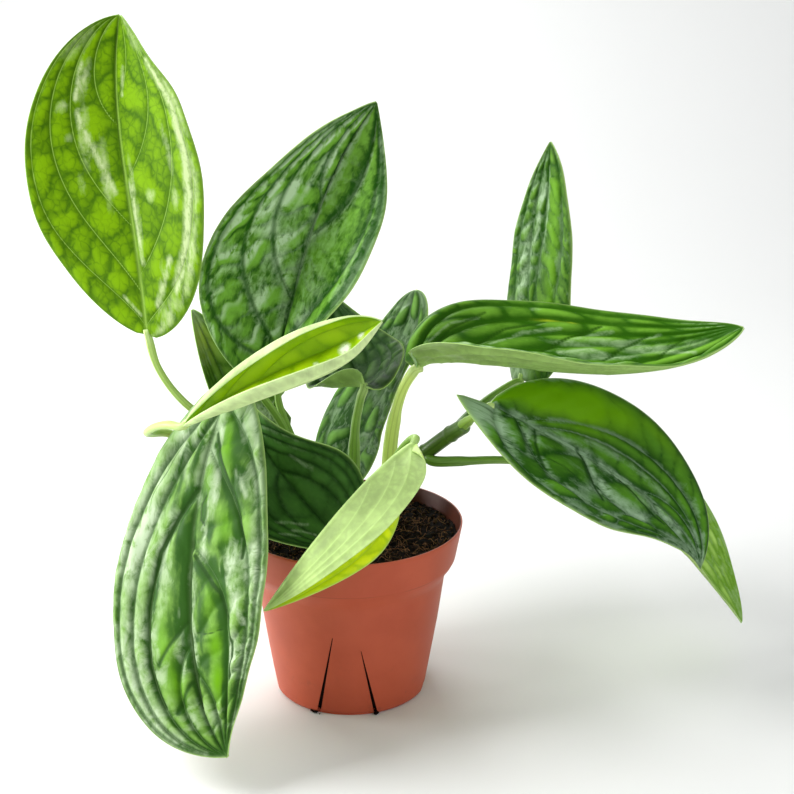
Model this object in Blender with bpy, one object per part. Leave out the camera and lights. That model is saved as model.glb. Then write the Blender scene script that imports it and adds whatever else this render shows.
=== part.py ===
"""Potted monstera: thirteen quilted leaves on their petioles and a vine stem, in a slitted nursery pot.

The origin is the centre of the pot's base, +Z is up and -Y is the front. Lengths below are in
millimetres and angles in degrees; MM turns them into Blender's metres.
"""

import math

import bpy
import numpy as np

MM = 0.001
GAP = 0.3

# Pot: a 12 cm thermoformed nursery pot with a flared collar and slits in its lower wall.
POT_HEIGHT = 95.0
POT_WALL = 1.2
POT_FLOOR = 2.0
RIM_RADIUS = 60.0
COLLAR_RADIUS = 56.6
COLLAR_Z = 75.5
COVE_TOP = (55.2, 73.3)
COVE_FOOT = (52.0, 68.4)
SHOULDER_RADIUS = 50.8
SHOULDER_Z = 66.0
BASE_RADIUS = 42.0
BASE_ROUNDING = 3.0
BASE_CHAMFER = 0.9
FLOOR_RISE = 1.0
POT_SIDES = 40
# Outer line of the wall from rim to foot: flared collar, cove under it, tapered wall.
WALL_LINE = ((RIM_RADIUS, POT_HEIGHT), (COLLAR_RADIUS, COLLAR_Z), COVE_TOP, COVE_FOOT,
             (SHOULDER_RADIUS, SHOULDER_Z), (BASE_RADIUS, BASE_ROUNDING))
SLIT_PAIRS = 4
SLIT_FOOT_WIDTH = 2.2
SLIT_TOP_WIDTH = 0.5
SLIT_INNER_RADIUS = 37.0
SLIT_OVERRUN = 2.0
SLITS = (dict(foot=-16.5, top=-8.0, height=49.0), dict(foot=14.0, top=6.5, height=41.0))

# Soil: peat and coir up to a finger's breadth below the rim, with one clod standing up at the back.
SOIL_LEVEL = 87.5
SOIL_EDGE_DROP = 1.0
SOIL_RINGS = 7
# Waves that add up to the soil's lumps: turns along x and y in radians a millimetre, phase, height.
LUMP_WAVES = ((0.31, 0.27, 1.0, 0.3), (0.31, -0.27, 1.0, 0.3), (0.71, -0.53, 2.0, 0.36),
              (0.4, 0.9, 1.6, 0.3))
CLOD_PLACE = (14.0, 46.0)
CLOD_HEIGHT = 11.0
CLOD_RADIUS = 5.0
FOOT_HEIGHTS = (66.0, 85.0, 92.0)
FOOT_CLEARANCE = 0.5
HOLE_SIDES = 10

# Leaf blades.
BLADE_THICKNESS = 0.8
MIDRIB_RIDGE = 0.9
RIDGE_TAPER = 0.7
BASE_END = 1.2
TIP_END = 0.8
LOBE_SPREAD = 5.0
LOBE_FADE = 5
ROLL_START = 0.5
BEND_STEPS = 16
ROWS = 12
COLUMNS = (0.0, 0.12, 0.30, 0.50, 0.70, 0.88, 1.0)
ROLLED_COLUMNS = (0.0, 0.30, 0.55, 0.70, 0.80, 0.90, 1.0)
VEIN_STARTS = (0.0, 0.08, 0.20, 0.36, 0.54)
VEIN_REACHES = (0.86, 0.66, 0.46, 0.29, 0.15)
VEIN_SWING = 0.16
FULL_PANEL = 12.0
PUCKERS = 7.0
PUCKER_DEPTH = 0.3
PANEL_PHASE = 2.1
SIDE_PHASE = 1.3
NO_ROLL = ((0, 0), (0, 0))

# Each leaf has four points along its midrib from base to tip, where its upper face looks at base and
# tip (degrees to the right of the front, degrees up), left and right half widths, how blunt the base
# and how tapered the tip is, and for each half at base and tip the fold up from the midrib, the curl
# across it and the roll of its outer edge. Lobes reach back beside the petiole, and relief is the
# height of the quilting.
LEAVES = {
    "upper_left": dict(
        midrib=((-99, -22, 203), (-104, -18, 262), (-110, -6, 310), (-108, 1, 355)),
        faces=((-25, 13), (-21, 23)), halves=(51, 51), blunt=0.56, taper=0.70,
        fold=((2, 17), (6, 18)), curl=((-4, 18), (4, 21)), roll=NO_ROLL, lobes=(1, 2), relief=1.6,
        colour="lit"),
    "upper_centre": dict(
        midrib=((-36, 1, 180), (-25, 5, 226), (-9, 9, 273), (15, 23, 312)),
        faces=((-38, 4), (25, 6)), halves=(51, 47), blunt=0.54, taper=0.94,
        fold=((24, 31), (31, 22)), curl=((13, 32), (34, 14)), roll=NO_ROLL, lobes=(15, 4), relief=1.6,
        colour="dark"),
    "hanging_front": dict(
        midrib=((-56, -40, 182), (-74, -69, 106), (-70, -97, 52), (-54, -121, 25)),
        faces=((-43, 16), (-40, 45)), halves=(51, 53), blunt=0.69, taper=1.10,
        fold=((-3, 12), (-5, 11)), curl=((-9, 14), (-11, 10)), roll=NO_ROLL, lobes=(9, 5), relief=2.4,
        colour="silver"),
    "lime_young": dict(
        midrib=((-74, -79, 174), (-38, -86, 198), (-7, -84, 212), (18, -87, 226)),
        faces=((30, 44), (38, 48)), halves=(20, 29), blunt=0.82, taper=0.70,
        fold=((26, 27), (24, 15)), curl=((30, 30), (40, 20)), roll=((200, 70), (120, 70)), lobes=(2, 3),
        relief=0.3, colour="lime"),
    "pale_front": dict(
        midrib=((34, -51, 156), (13, -70, 145), (-12, -86, 121), (-38, -95, 87)),
        faces=((75, -39), (75, -39)), halves=(36, 27), blunt=0.52, taper=0.95,
        fold=((15, 95), (38, 62)), curl=((5, 5), (8, 8)), roll=NO_ROLL, lobes=(2, -8),
        relief=0.5, colour="pale"),
    "low_dark": dict(
        midrib=((-49, -16, 157), (-36, -20, 131), (-18, -25, 109), (-2, -31, 91)),
        faces=((-35, 34), (-28, 71)), halves=(35, 36), blunt=0.67, taper=0.63,
        fold=((24, 24), (15, 30)), curl=((20, 13), (0, 29)), roll=NO_ROLL, lobes=(9, 3), relief=0.8,
        colour="dark"),
    "twisted_back": dict(
        midrib=((-34, 22, 136), (-52, 27, 139), (-68, 35, 161), (-86, 42, 200)),
        faces=((14, 26), (15, 31)), halves=(18, 28), blunt=0.39, taper=0.74,
        fold=((19, 24), (23, 25)), curl=((11, 20), (18, 20)), roll=NO_ROLL, lobes=(3, 6), relief=0.8,
        colour="dark"),
    "centre_back": dict(
        midrib=((8, 0, 170), (6, 28, 163), (-3, 56, 174), (-18, 86, 204)),
        faces=((0, 30), (-4, 36)), halves=(30, 30), blunt=0.53, taper=0.99,
        fold=((14, 13), (18, 14)), curl=((7, 7), (14, 8)), roll=NO_ROLL, lobes=(3, 3), relief=1.2,
        colour="dark"),
    "tall_back": dict(
        midrib=((-2, 23, 107), (3, 51, 135), (22, 63, 168), (35, 79, 202)),
        faces=((-30, 60), (-30, 60)), halves=(28, 30), blunt=0.38, taper=0.55,
        fold=((-8, -3), (16, 16)), curl=((-19, -9), (19, 16)), roll=NO_ROLL, lobes=(4, 6), relief=1.4,
        colour="silver"),
    "right_wide": dict(
        midrib=((35, -9, 182), (77, -15, 185), (142, -19, 182), (197, -21, 206)),
        faces=((1, 91), (1, 81)), halves=(44, 44), blunt=0.38, taper=0.62,
        fold=((23, 27), (22, 19)), curl=((16, 22), (16, 10)), roll=NO_ROLL, lobes=(8, -6), relief=1.6,
        colour="dark"),
    "right_upright": dict(
        midrib=((95, 60, 156), (101, 55, 206), (105, 48, 251), (106, 52, 289)),
        faces=((-52, 25), (-47, 28)), halves=(26, 29), blunt=0.40, taper=0.92,
        fold=((-7, 9), (-4, 8)), curl=((-15, 13), (-8, 8)), roll=NO_ROLL, lobes=(7, 3), relief=1.2,
        colour="silver"),
    "right_lower": dict(
        midrib=((72, -21, 166), (119, -23, 140), (159, -33, 114), (177, -51, 88)),
        faces=((26, 44), (35, 31)), halves=(40, 42), blunt=0.74, taper=1.20,
        fold=((6, 4), (9, 13)), curl=((8, 7), (11, 15)), roll=NO_ROLL, lobes=(1, 22), relief=1.6,
        colour="dark"),
    "right_under": dict(
        midrib=((114, 20, 116), (153, 22, 97), (187, 24, 65), (220, 22, 23)),
        faces=((30, 59), (35, 64)), halves=(38, 38), blunt=0.53, taper=0.82,
        fold=((21, 16), (23, 23)), curl=((14, 5), (16, 18)), roll=NO_ROLL, lobes=(3, 3), relief=1.2,
        colour="mid"),
}

# Where each stalk stands in the soil, and the straight foot that it has there.
FEET = {
    "vine_stem": (15, 27), "upper_left": (-26, 2), "upper_centre": (-14, 9), "hanging_front": (-22, -10),
    "lime_young": (-42, 0), "pale_front": (13, -14), "low_dark": (-34, 10), "twisted_back": (-24, 24),
    "centre_back": (1, 4), "tall_back": (-6, 20), "right_wide": (20, 9),
}


def standing(name):
    return tuple((*FEET[name], z) for z in FOOT_HEIGHTS)


# The vine stem and each petiole: points along its centre from foot to end, and its radius there.
STEMS = {
    "vine_stem": dict(
        path=standing("vine_stem") + (
            (18, 25, 104), (30, 21, 117), (41, 15, 128), (52, 6, 140), (61, -5, 150)),
        radii=(4.6, 4.2), colour="vine"),
}
STEM_SIDES = 12
STEM_PIECES = 16
PETIOLE_RADII = (2.6, 1.7)
PETIOLE_SIDES = 8
PETIOLE_PIECES = 11
CURVE_STEPS = 8
PETIOLES = {
    "upper_left": dict(path=standing("upper_left") + (
        (-36, -1, 122), (-62, -7, 144), (-84, -13, 165), (-95, -18, 184), (-98.6, -21.9, 202.1))),
    "upper_centre": dict(path=standing("upper_centre") + (
        (-22, 8, 116), (-31, 6, 140), (-37, 4, 160), (-36.6, 2.6, 177.6))),
    "hanging_front": dict(path=standing("hanging_front") + (
        (-25, -6, 120), (-34, -9, 150), (-46, -20, 174), (-52, -30, 185), (-55.4, -38.2, 184.3))),
    "lime_young": dict(path=standing("lime_young") + (
        (-48, -1, 110), (-72, -4, 134), (-91, -12, 147), (-99, -28, 153), (-97, -46, 160),
        (-90, -62, 168), (-82, -74, 173), (-75, -80, 174))),
    "pale_front": dict(path=standing("pale_front") + (
        (18, -20, 122), (25, -31, 142), (31, -42, 154), (34.2, -49.6, 157.6))),
    "low_dark": dict(path=standing("low_dark") + (
        (-40, 7, 118), (-46, -3, 144), (-48.7, -13.8, 158.6))),
    "twisted_back": dict(path=standing("twisted_back") + (
        (-26, 25, 114), (-29, 24, 128), (-32.8, 22.8, 134.7))),
    "centre_back": dict(path=standing("centre_back") + (
        (2, 4, 120), (3, 3, 145), (6, 1, 162), (7.8, 0, 167.4)), radii=(3.5, 2.0)),
    "tall_back": dict(path=standing("tall_back") + ((-5, 21, 98), (-3.6, 21.7, 104))),
    "right_wide": dict(path=standing("right_wide") + (
        (21, 8, 128), (24, 3, 152), (28, -2, 168), (33.9, -7.7, 180)), radii=(4.0, 2.4)),
    "right_upright": dict(path=(
        (59.5, 3.9, 148), (70, 22, 152), (82, 42, 154), (91, 56, 154.6), (94.3, 59.8, 153.6))),
    "right_lower": dict(path=((60, -6.1, 150.6), (67, -16, 160), (70.7, -20.7, 164.7))),
    "right_under": dict(path=(
        (44.6, 9.4, 124.6), (58, 8, 125), (80, 10, 125), (100, 16, 121), (112.4, 19.6, 115.6))),
}

# Principled colours, roughness and metallic values.
FINISHES = {
    "terracotta": ((0.42, 0.09, 0.05), 0.45, 0.0),
    "soil": ((0.018, 0.011, 0.008), 0.95, 0.0),
    "lit": ((0.19, 0.40, 0.02), 0.35, 0.0),
    "dark": ((0.03, 0.12, 0.025), 0.35, 0.0),
    "silver": ((0.07, 0.20, 0.06), 0.35, 0.0),
    "mid": ((0.05, 0.20, 0.02), 0.35, 0.0),
    "lime": ((0.32, 0.52, 0.01), 0.3, 0.0),
    "pale": ((0.42, 0.62, 0.20), 0.4, 0.0),
    "stalk": ((0.36, 0.55, 0.12), 0.4, 0.0),
    "vine": ((0.06, 0.13, 0.01), 0.4, 0.0),
}


def stalk_radii(name):
    """Radius of a stem or petiole at its foot and at its end."""
    if name in STEMS:
        return STEMS[name]["radii"]
    return PETIOLES[name].get("radii", PETIOLE_RADII)


def clear_scene():
    for thing in list(bpy.data.objects):
        bpy.data.objects.remove(thing, do_unlink=True)


def finish(name):
    if name in bpy.data.materials:
        return bpy.data.materials[name]
    colour, roughness, metallic = FINISHES[name]
    material = bpy.data.materials.new(name)
    material.use_nodes = True
    shader = material.node_tree.nodes["Principled BSDF"]
    shader.inputs["Base Color"].default_value = (*colour, 1.0)
    shader.inputs["Roughness"].default_value = roughness
    shader.inputs["Metallic"].default_value = metallic
    return material


def new_object(name, mesh, colour):
    """Link a mesh as one named object with a material of its own colour."""
    thing = bpy.data.objects.new(name, mesh)
    bpy.context.collection.objects.link(thing)
    mesh.materials.append(finish(colour))
    mesh.shade_smooth()
    mesh.set_sharp_from_angle(angle=math.radians(40))
    return thing


def mesh_from(name, points, faces):
    mesh = bpy.data.meshes.new(name)
    mesh.from_pydata([tuple(p * MM) for p in np.asarray(points, float)], [], faces)
    mesh.validate()
    return mesh


def unit(vectors):
    return vectors / np.linalg.norm(vectors, axis=-1, keepdims=True)


def look(right, up):
    """Unit vector that looks right degrees to the right of the front and up degrees upwards."""
    a, b = math.radians(right), math.radians(up)
    return np.array((math.sin(a) * math.cos(b), -math.cos(a) * math.cos(b), math.sin(b)))


def half_width(leaf, s):
    """Share of the full half width at station s, from a rounded base to a drawn-out tip."""
    peak = leaf["blunt"] / (leaf["blunt"] + leaf["taper"])
    top = peak ** leaf["blunt"] * (1 - peak) ** leaf["taper"]
    return s ** leaf["blunt"] * (1 - s) ** leaf["taper"] / top


def blade_sheet(leaf, s, t):
    """Points of the smooth blade at stations s (0 base, 1 tip) and t (-1 left margin, 1 right)."""
    knots = np.linspace(0, 1, 4)
    cubic = np.polyfit(knots, np.array(leaf["midrib"], float), 3)
    spine = np.stack([np.polyval(cubic[:, k], s) for k in range(3)], -1)
    slope = np.stack([np.polyval(np.polyder(cubic[:, k]), s) for k in range(3)], -1)
    along = unit(slope)
    faces = [look(*pair) for pair in leaf["faces"]]
    facing = unit(faces[0] * (1 - s[..., None]) + faces[1] * s[..., None])
    normal = unit(facing - (facing * along).sum(-1, keepdims=True) * along)
    across = np.cross(along, normal)
    right = t > 0

    def blend(pairs):
        (lb, lt), (rb, rt) = pairs
        return np.radians(np.where(right, rb * (1 - s) + rt * s, lb * (1 - s) + lt * s))

    reach = np.abs(t)
    width = np.where(right, leaf["halves"][1], leaf["halves"][0]) * half_width(leaf, s)
    steps = (np.arange(BEND_STEPS) + 0.5) / BEND_STEPS
    path = reach[..., None] * steps
    turned = blend(leaf["fold"])[..., None] + blend(leaf["curl"])[..., None] * path
    turned += blend(leaf["roll"])[..., None] * np.clip((path - ROLL_START) / (1 - ROLL_START), 0, 1)
    out = np.sign(t) * width * reach * np.cos(turned).mean(-1)
    rise = width * reach * np.sin(turned).mean(-1)
    lobe = np.where(right, leaf["lobes"][1], leaf["lobes"][0])
    back = lobe * (1 - s) ** LOBE_FADE * reach ** 2 * np.clip(width * reach / LOBE_SPREAD, 0, 1)
    return spine + across * out[..., None] + normal * rise[..., None] - along * back[..., None]


def quilting(leaf, s, t, seed):
    """Height of the leaf's quilted face: panels swell between veins that arch towards the tip."""
    reach = np.abs(t)
    side = np.where(t > 0, SIDE_PHASE, 0.0)
    width = np.where(t > 0, leaf["halves"][1], leaf["halves"][0]) * half_width(leaf, s)
    outer = np.ones_like(s)
    height = np.zeros_like(s)
    veins = []
    for start, extent in zip(VEIN_STARTS, VEIN_REACHES):
        veins.append(extent * (1 - np.exp(-np.maximum(s - start, 0) / VEIN_SWING)))
    for order, inner in enumerate(veins + [np.zeros_like(s)]):
        panel = np.maximum(outer - inner, 1e-6)
        place = np.clip((reach - inner) / panel, 0, 1)
        inside = (reach >= inner) & (reach <= outer)
        swell = np.sin(math.pi * place) * np.minimum(1, panel * width / FULL_PANEL)
        pucker = 1 + PUCKER_DEPTH * np.cos(2 * math.pi * PUCKERS * s + PANEL_PHASE * order + seed + side)
        height = np.where(inside, leaf["relief"] * swell * pucker, height)
        outer = inner
    return height


def end_station(share, power, scale):
    """Station, counted from an end, where the outline has the given share of its full width."""
    return (share * scale) ** (1 / power)


def blade_mesh(name, leaf, seed):
    """Closed thin plate: two faces with the same triangles, and a wall round the margin."""
    peak = leaf["blunt"] / (leaf["blunt"] + leaf["taper"])
    top = peak ** leaf["blunt"] * (1 - peak) ** leaf["taper"]
    widest = max(leaf["halves"])
    first = end_station(BASE_END / widest, leaf["blunt"], top)
    last = 1 - end_station(TIP_END / widest, leaf["taper"], top)
    stations = first + (last - first) * (1 - np.cos(np.linspace(0, math.pi, ROWS + 1))) / 2
    half = ROLLED_COLUMNS if leaf["roll"] != NO_ROLL else COLUMNS
    columns = np.array([-c for c in half[:0:-1]] + list(half))
    s, t = np.meshgrid(stations, columns, indexing="ij")
    tiny = 1e-4
    sheet = blade_sheet(leaf, s, t)
    ahead, behind = np.minimum(s + tiny, last), np.maximum(s - tiny, first)
    ds = blade_sheet(leaf, ahead, t) - blade_sheet(leaf, behind, t)
    dt = blade_sheet(leaf, s, t + tiny) - blade_sheet(leaf, s, t - tiny)
    normal = unit(np.cross(dt, ds))
    sheet = sheet + normal * quilting(leaf, s, t, seed)[..., None]
    ridge = np.where(t == 0, MIDRIB_RIDGE * (1 - RIDGE_TAPER * s), 0.0)
    upper = sheet + normal * BLADE_THICKNESS / 2
    lower = sheet - normal * (BLADE_THICKNESS / 2 + ridge)[..., None]
    rows, cols = s.shape
    count = rows * cols
    faces = []
    for i in range(rows - 1):
        for j in range(cols - 1):
            a, b, c, d = i * cols + j, i * cols + j + 1, (i + 1) * cols + j + 1, (i + 1) * cols + j
            halves = ((a, b, c), (a, c, d)) if j < cols // 2 else ((a, b, d), (b, c, d))
            for tri in halves:
                faces.append(tri)
                faces.append(tuple(k + count for k in tri[::-1]))
    ring = list(range(cols)) + [i * cols + cols - 1 for i in range(1, rows)]
    ring += [(rows - 1) * cols + j for j in range(cols - 2, -1, -1)]
    ring += [i * cols for i in range(rows - 2, 0, -1)]
    for a, b in zip(ring, ring[1:] + ring[:1]):
        faces.append((a, b + count, b))
        faces.append((a, a + count, b + count))
    return mesh_from(name, np.concatenate((upper.reshape(-1, 3), lower.reshape(-1, 3))), faces)


def smooth_path(points, pieces):
    """Evenly stepped points on a smooth curve through the given ones."""
    p = np.array(points, float)
    p = np.vstack((2 * p[0] - p[1], p, 2 * p[-1] - p[-2]))
    curve = []
    for i in range(1, len(p) - 2):
        for u in np.linspace(0, 1, CURVE_STEPS, endpoint=False):
            a, b, c, d = p[i - 1:i + 3]
            curve.append(0.5 * (2 * b + (c - a) * u + (2 * a - 5 * b + 4 * c - d) * u ** 2
                                + (3 * b - a - 3 * c + d) * u ** 3))
    curve = np.array(curve + [p[-2]])
    run = np.concatenate(([0], np.cumsum(np.linalg.norm(np.diff(curve, axis=0), axis=1))))
    even = np.linspace(0, run[-1], pieces + 1)
    return np.stack([np.interp(even, run, curve[:, k]) for k in range(3)], -1)


def tube_mesh(name, points, radii, sides, pieces):
    """Closed round stalk along a smooth path, tapering from its foot to its end."""
    centre = smooth_path(points, pieces)
    along = unit(np.gradient(centre, axis=0))
    back = np.array((0.3, 1.0, 0.2))
    side = unit(np.cross(along[0], back))
    rings = []
    for k, (middle, direction) in enumerate(zip(centre, along)):
        side = unit(side - (side @ direction) * direction)
        other = np.cross(direction, side)
        radius = radii[0] + (radii[1] - radii[0]) * k / pieces
        for turn in np.arange(sides) * 2 * math.pi / sides:
            rings.append(middle + radius * (math.cos(turn) * side + math.sin(turn) * other))
    faces = [tuple(range(sides))[::-1]]
    for k in range(pieces):
        for j in range(sides):
            a, b = k * sides + j, k * sides + (j + 1) % sides
            faces.append((a, b, b + sides, a + sides))
    faces.append(tuple(pieces * sides + j for j in range(sides)))
    return mesh_from(name, rings, faces)


def lathe_mesh(name, profile, sides, relief=None):
    """Turn a closed half profile of (radius, height) points, top axis point to bottom axis point."""
    points, rings = [], []
    for r, z in profile:
        if r == 0:
            rings.append([len(points)])
            points.append((0.0, 0.0, z))
            continue
        rings.append(list(range(len(points), len(points) + sides)))
        for turn in np.arange(sides) * 2 * math.pi / sides:
            points.append((r * math.cos(turn), r * math.sin(turn), z))
    points = np.array(points)
    if relief is not None:
        points[:, 2] += relief(points)
    faces = []
    for upper, lower in zip(rings, rings[1:]):
        for j in range(sides):
            k = (j + 1) % sides
            if len(upper) == 1:
                faces.append((upper[0], lower[j], lower[k]))
            elif len(lower) == 1:
                faces.append((upper[j], lower[0], upper[k]))
            else:
                faces.append((upper[j], lower[j], lower[k], upper[k]))
    return mesh_from(name, points, faces)


def cut(thing, cutters):
    """Subtract the cutters from a thing and remove them."""
    for cutter in cutters:
        modifier = thing.modifiers.new("cut", "BOOLEAN")
        modifier.operation = "DIFFERENCE"
        modifier.solver = "EXACT"
        modifier.object = cutter
    graph = bpy.context.evaluated_depsgraph_get()
    mesh = bpy.data.meshes.new_from_object(thing.evaluated_get(graph))
    thing.modifiers.clear()
    thing.data = mesh
    for cutter in cutters:
        bpy.data.objects.remove(cutter, do_unlink=True)


def wall_inside(inset, foot):
    """Line inside the wall from under the rim to the foot, that far in from the wall's outer line."""
    line = [(r - inset, z) for r, z in WALL_LINE[1:-1]]
    return line + [(BASE_RADIUS - inset, BASE_ROUNDING + foot)]


def slit_cutter(turn, slit):
    """Narrow wedge through the wall, open at the pot's foot and closing to a line at its top."""
    foot, top, height = slit["foot"], slit["top"], slit["height"]
    low = foot - SLIT_OVERRUN * (top - foot) / height
    outline = ((low - SLIT_FOOT_WIDTH / 2, -SLIT_OVERRUN), (low + SLIT_FOOT_WIDTH / 2, -SLIT_OVERRUN),
               (top + SLIT_TOP_WIDTH / 2, height), (top - SLIT_TOP_WIDTH / 2, height))
    points = []
    for depth in (SLIT_INNER_RADIUS, RIM_RADIUS):
        for sideways, z in outline:
            x = sideways * math.cos(turn) + depth * math.sin(turn)
            y = sideways * math.sin(turn) - depth * math.cos(turn)
            points.append((x, y, z))
    faces = [(3, 2, 1, 0), (4, 5, 6, 7), (1, 5, 4, 0), (2, 6, 5, 1), (3, 7, 6, 2), (0, 4, 7, 3)]
    cutter = new_object("slit_cutter", mesh_from("slit_cutter", points, faces), "terracotta")
    cutter.hide_render = True
    cutter.display_type = "WIRE"
    return cutter


def build_pot():
    base_flat = BASE_RADIUS - BASE_ROUNDING
    outside = list(WALL_LINE) + [(BASE_RADIUS - BASE_CHAMFER, BASE_CHAMFER), (base_flat, 0.0), (0.0, 0.0)]
    inside = [(0.0, POT_FLOOR), (base_flat, POT_FLOOR)] + wall_inside(POT_WALL, FLOOR_RISE)[::-1]
    lip = [(RIM_RADIUS - POT_WALL, POT_HEIGHT)]
    pot = new_object("pot", lathe_mesh("pot", inside + lip + outside, POT_SIDES), "terracotta")
    turns = [k * 2 * math.pi / SLIT_PAIRS for k in range(SLIT_PAIRS)]
    cut(pot, [slit_cutter(turn, slit) for turn in turns for slit in SLITS])


def soil_relief(points):
    """Lumps of the soil's top, and its one tall clod; the sides and bottom stay plain."""
    x, y, z = points.T
    lumps = sum(height * np.sin(kx * x + ky * y + phase) for kx, ky, phase, height in LUMP_WAVES)
    away = np.hypot(x - CLOD_PLACE[0], y - CLOD_PLACE[1])
    clod = CLOD_HEIGHT * np.exp(-(away / CLOD_RADIUS) ** 2)
    return np.where(z > SOIL_LEVEL - SOIL_EDGE_DROP / 2, lumps + clod, 0.0)


def build_soil():
    inset = POT_WALL + GAP
    rise = (SOIL_LEVEL - COLLAR_Z) / (POT_HEIGHT - COLLAR_Z)
    edge = COLLAR_RADIUS + (RIM_RADIUS - COLLAR_RADIUS) * rise - inset
    top = [(edge * k / SOIL_RINGS, SOIL_LEVEL) for k in range(SOIL_RINGS)]
    bottom = [(BASE_RADIUS - BASE_ROUNDING - GAP, POT_FLOOR + GAP), (0.0, POT_FLOOR + GAP)]
    profile = top + [(edge, SOIL_LEVEL - SOIL_EDGE_DROP)] + wall_inside(inset, FLOOR_RISE + GAP) + bottom
    soil = new_object("soil", lathe_mesh("soil", profile, POT_SIDES, soil_relief), "soil")
    holes = []
    for name, (x, y) in FEET.items():
        radius = stalk_radii(name)[0] + FOOT_CLEARANCE
        tall = ((x, y, FOOT_HEIGHTS[0] - FOOT_CLEARANCE), (x, y, SOIL_LEVEL + CLOD_HEIGHT))
        hole = new_object("hole", tube_mesh("hole", tall, (radius, radius), HOLE_SIDES, 1), "soil")
        hole.hide_render = True
        hole.display_type = "WIRE"
        holes.append(hole)
    cut(soil, holes)


def build_stalks():
    for name, stem in STEMS.items():
        mesh = tube_mesh(name, stem["path"], stalk_radii(name), STEM_SIDES, STEM_PIECES)
        new_object(name, mesh, stem["colour"])
    for name, petiole in PETIOLES.items():
        label = "petiole_" + name
        mesh = tube_mesh(label, petiole["path"], stalk_radii(name), PETIOLE_SIDES, PETIOLE_PIECES)
        new_object(label, mesh, "stalk")


def build_leaves():
    for seed, (name, leaf) in enumerate(LEAVES.items()):
        label = "leaf_" + name
        new_object(label, blade_mesh(label, leaf, float(seed)), leaf["colour"])


clear_scene()
build_pot()
build_soil()
build_stalks()
build_leaves()
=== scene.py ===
"""Looks of the potted monstera: fine leaves, stalks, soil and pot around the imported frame.

Lengths in the tables are millimetres and angles degrees, as in the part's source. MM turns them into
metres.
"""

import math

import bpy
import numpy as np
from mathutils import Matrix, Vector


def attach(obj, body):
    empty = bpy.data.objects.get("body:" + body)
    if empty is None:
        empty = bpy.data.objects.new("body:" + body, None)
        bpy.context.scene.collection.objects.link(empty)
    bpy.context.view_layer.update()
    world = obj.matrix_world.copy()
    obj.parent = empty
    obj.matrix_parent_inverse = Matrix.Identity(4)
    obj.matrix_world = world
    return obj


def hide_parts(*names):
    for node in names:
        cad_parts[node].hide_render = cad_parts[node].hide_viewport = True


MM = 0.001
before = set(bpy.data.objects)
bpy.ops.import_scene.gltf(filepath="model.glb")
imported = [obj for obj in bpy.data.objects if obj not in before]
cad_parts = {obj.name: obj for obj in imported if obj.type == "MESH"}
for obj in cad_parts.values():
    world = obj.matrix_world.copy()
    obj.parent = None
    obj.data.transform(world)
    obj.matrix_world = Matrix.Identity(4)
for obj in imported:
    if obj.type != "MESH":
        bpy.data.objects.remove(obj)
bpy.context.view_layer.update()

# Camera, fitted to the pot's ellipses in the photo.
LENS = 63.48
SENSOR = 36.0
PITCH = 17.4
AIM = (25.0, 0.0, 163.4)
DISTANCE = 728.0

# Stage, in mm, and lights: place, point they face and size in metres, and power in watts.
STAGE_FRONT = -3000.0
STAGE_BACK = 900.0
STAGE_SWEEP = 800.0
SWEEP_STEPS = 16
STAGE_TOP = 3500.0
STAGE_HALF_WIDTH = 4000.0
STAGE_GAP = 0.05
LIGHTS = {
    "key": ((-1.1, -0.35, 1.3), (0.0, 0.0, 0.15), (0.8, 0.8), 27.0),
    "side_window": ((-1.3, 0.15, 0.25), (0.0, 0.0, 0.08), (0.5, 0.5), 11.0),
    "back_window": ((-0.6, 1.1, 1.0), (0.0, 0.0, 0.2), (1.2, 0.8), 12.0),
    "fill": ((1.3, -0.9, 0.5), (0.0, 0.0, 0.1), (1.0, 0.8), 4.5),
}

# Pot.
POT_HEIGHT = 95.0
POT_WALL = 1.2
POT_FLOOR = 2.0
LIP = 0.6
RIM_RADIUS = 60.0
COLLAR_RADIUS = 56.6
COLLAR_Z = 75.5
COVE_TOP = (55.2, 73.3)
COVE_MIDDLE = (53.4, 70.9)
COVE_FOOT = (52.0, 68.4)
COVE_END = (51.2, 67.0)
SHOULDER_RADIUS = 50.8
SHOULDER_Z = 66.0
BASE_RADIUS = 42.0
BASE_ROUNDING = 3.0
POT_SIDES = 180
PROFILE_STEP = 3.0
SLIT_PAIRS = 4
SLIT_FOOT_WIDTH = 2.2
SLIT_TOP_WIDTH = 0.4
SLIT_INNER_RADIUS = 37.0
SLIT_OVERRUN = 2.0
SLITS = (dict(foot=-16.5, top=-8.0, height=49.0), dict(foot=14.0, top=6.5, height=41.0))
TONGUE_RECESS = 1.3
TONGUE_SLOPE = 2.5
TONGUE_INNER_RADIUS = 36.0
TONGUE_FOOT = 0.5
SHARP_ANGLE = 50

# Soil.
SOIL_SEED = 7
SOIL_LEVEL = 87.5
SOIL_SINK = 0.6
CLOD_PLACE = (14.0, 46.0)
CLOD_HEIGHT = 11.0
CLOD_RADIUS = 5.0
SOIL_GAP = 0.3
SOIL_RINGS = 58
SOIL_SIDES = 200
# Height and length of the waves of lumps, how many of each, the range of their lengths, what their
# heights are divided by, and the share of the lumps that the clod takes up.
LUMP_SIZES = ((0.6, 9.0), (0.45, 5.0), (0.35, 2.8), (0.25, 1.7))
LUMP_WAVES = 7
LUMP_VARIETY = (0.8, 1.3)
LUMP_DIVISOR = 2.4
CLOD_LUMPS = 0.12
# Crumbs: number, range of sizes before the power that makes small ones common, range of their corners,
# how flat they are, how high they lie and how far from the wall.
CRUMBS = 1500
CRUMB_SIZES = (0.35, 1.5)
CRUMB_POWER = 1.3
CRUMB_CORNERS = (0.5, 1.3)
CRUMB_FLATNESS = 0.7
CRUMB_LIFT = 0.25
CRUMB_WALL_GAP = 0.8
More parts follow.
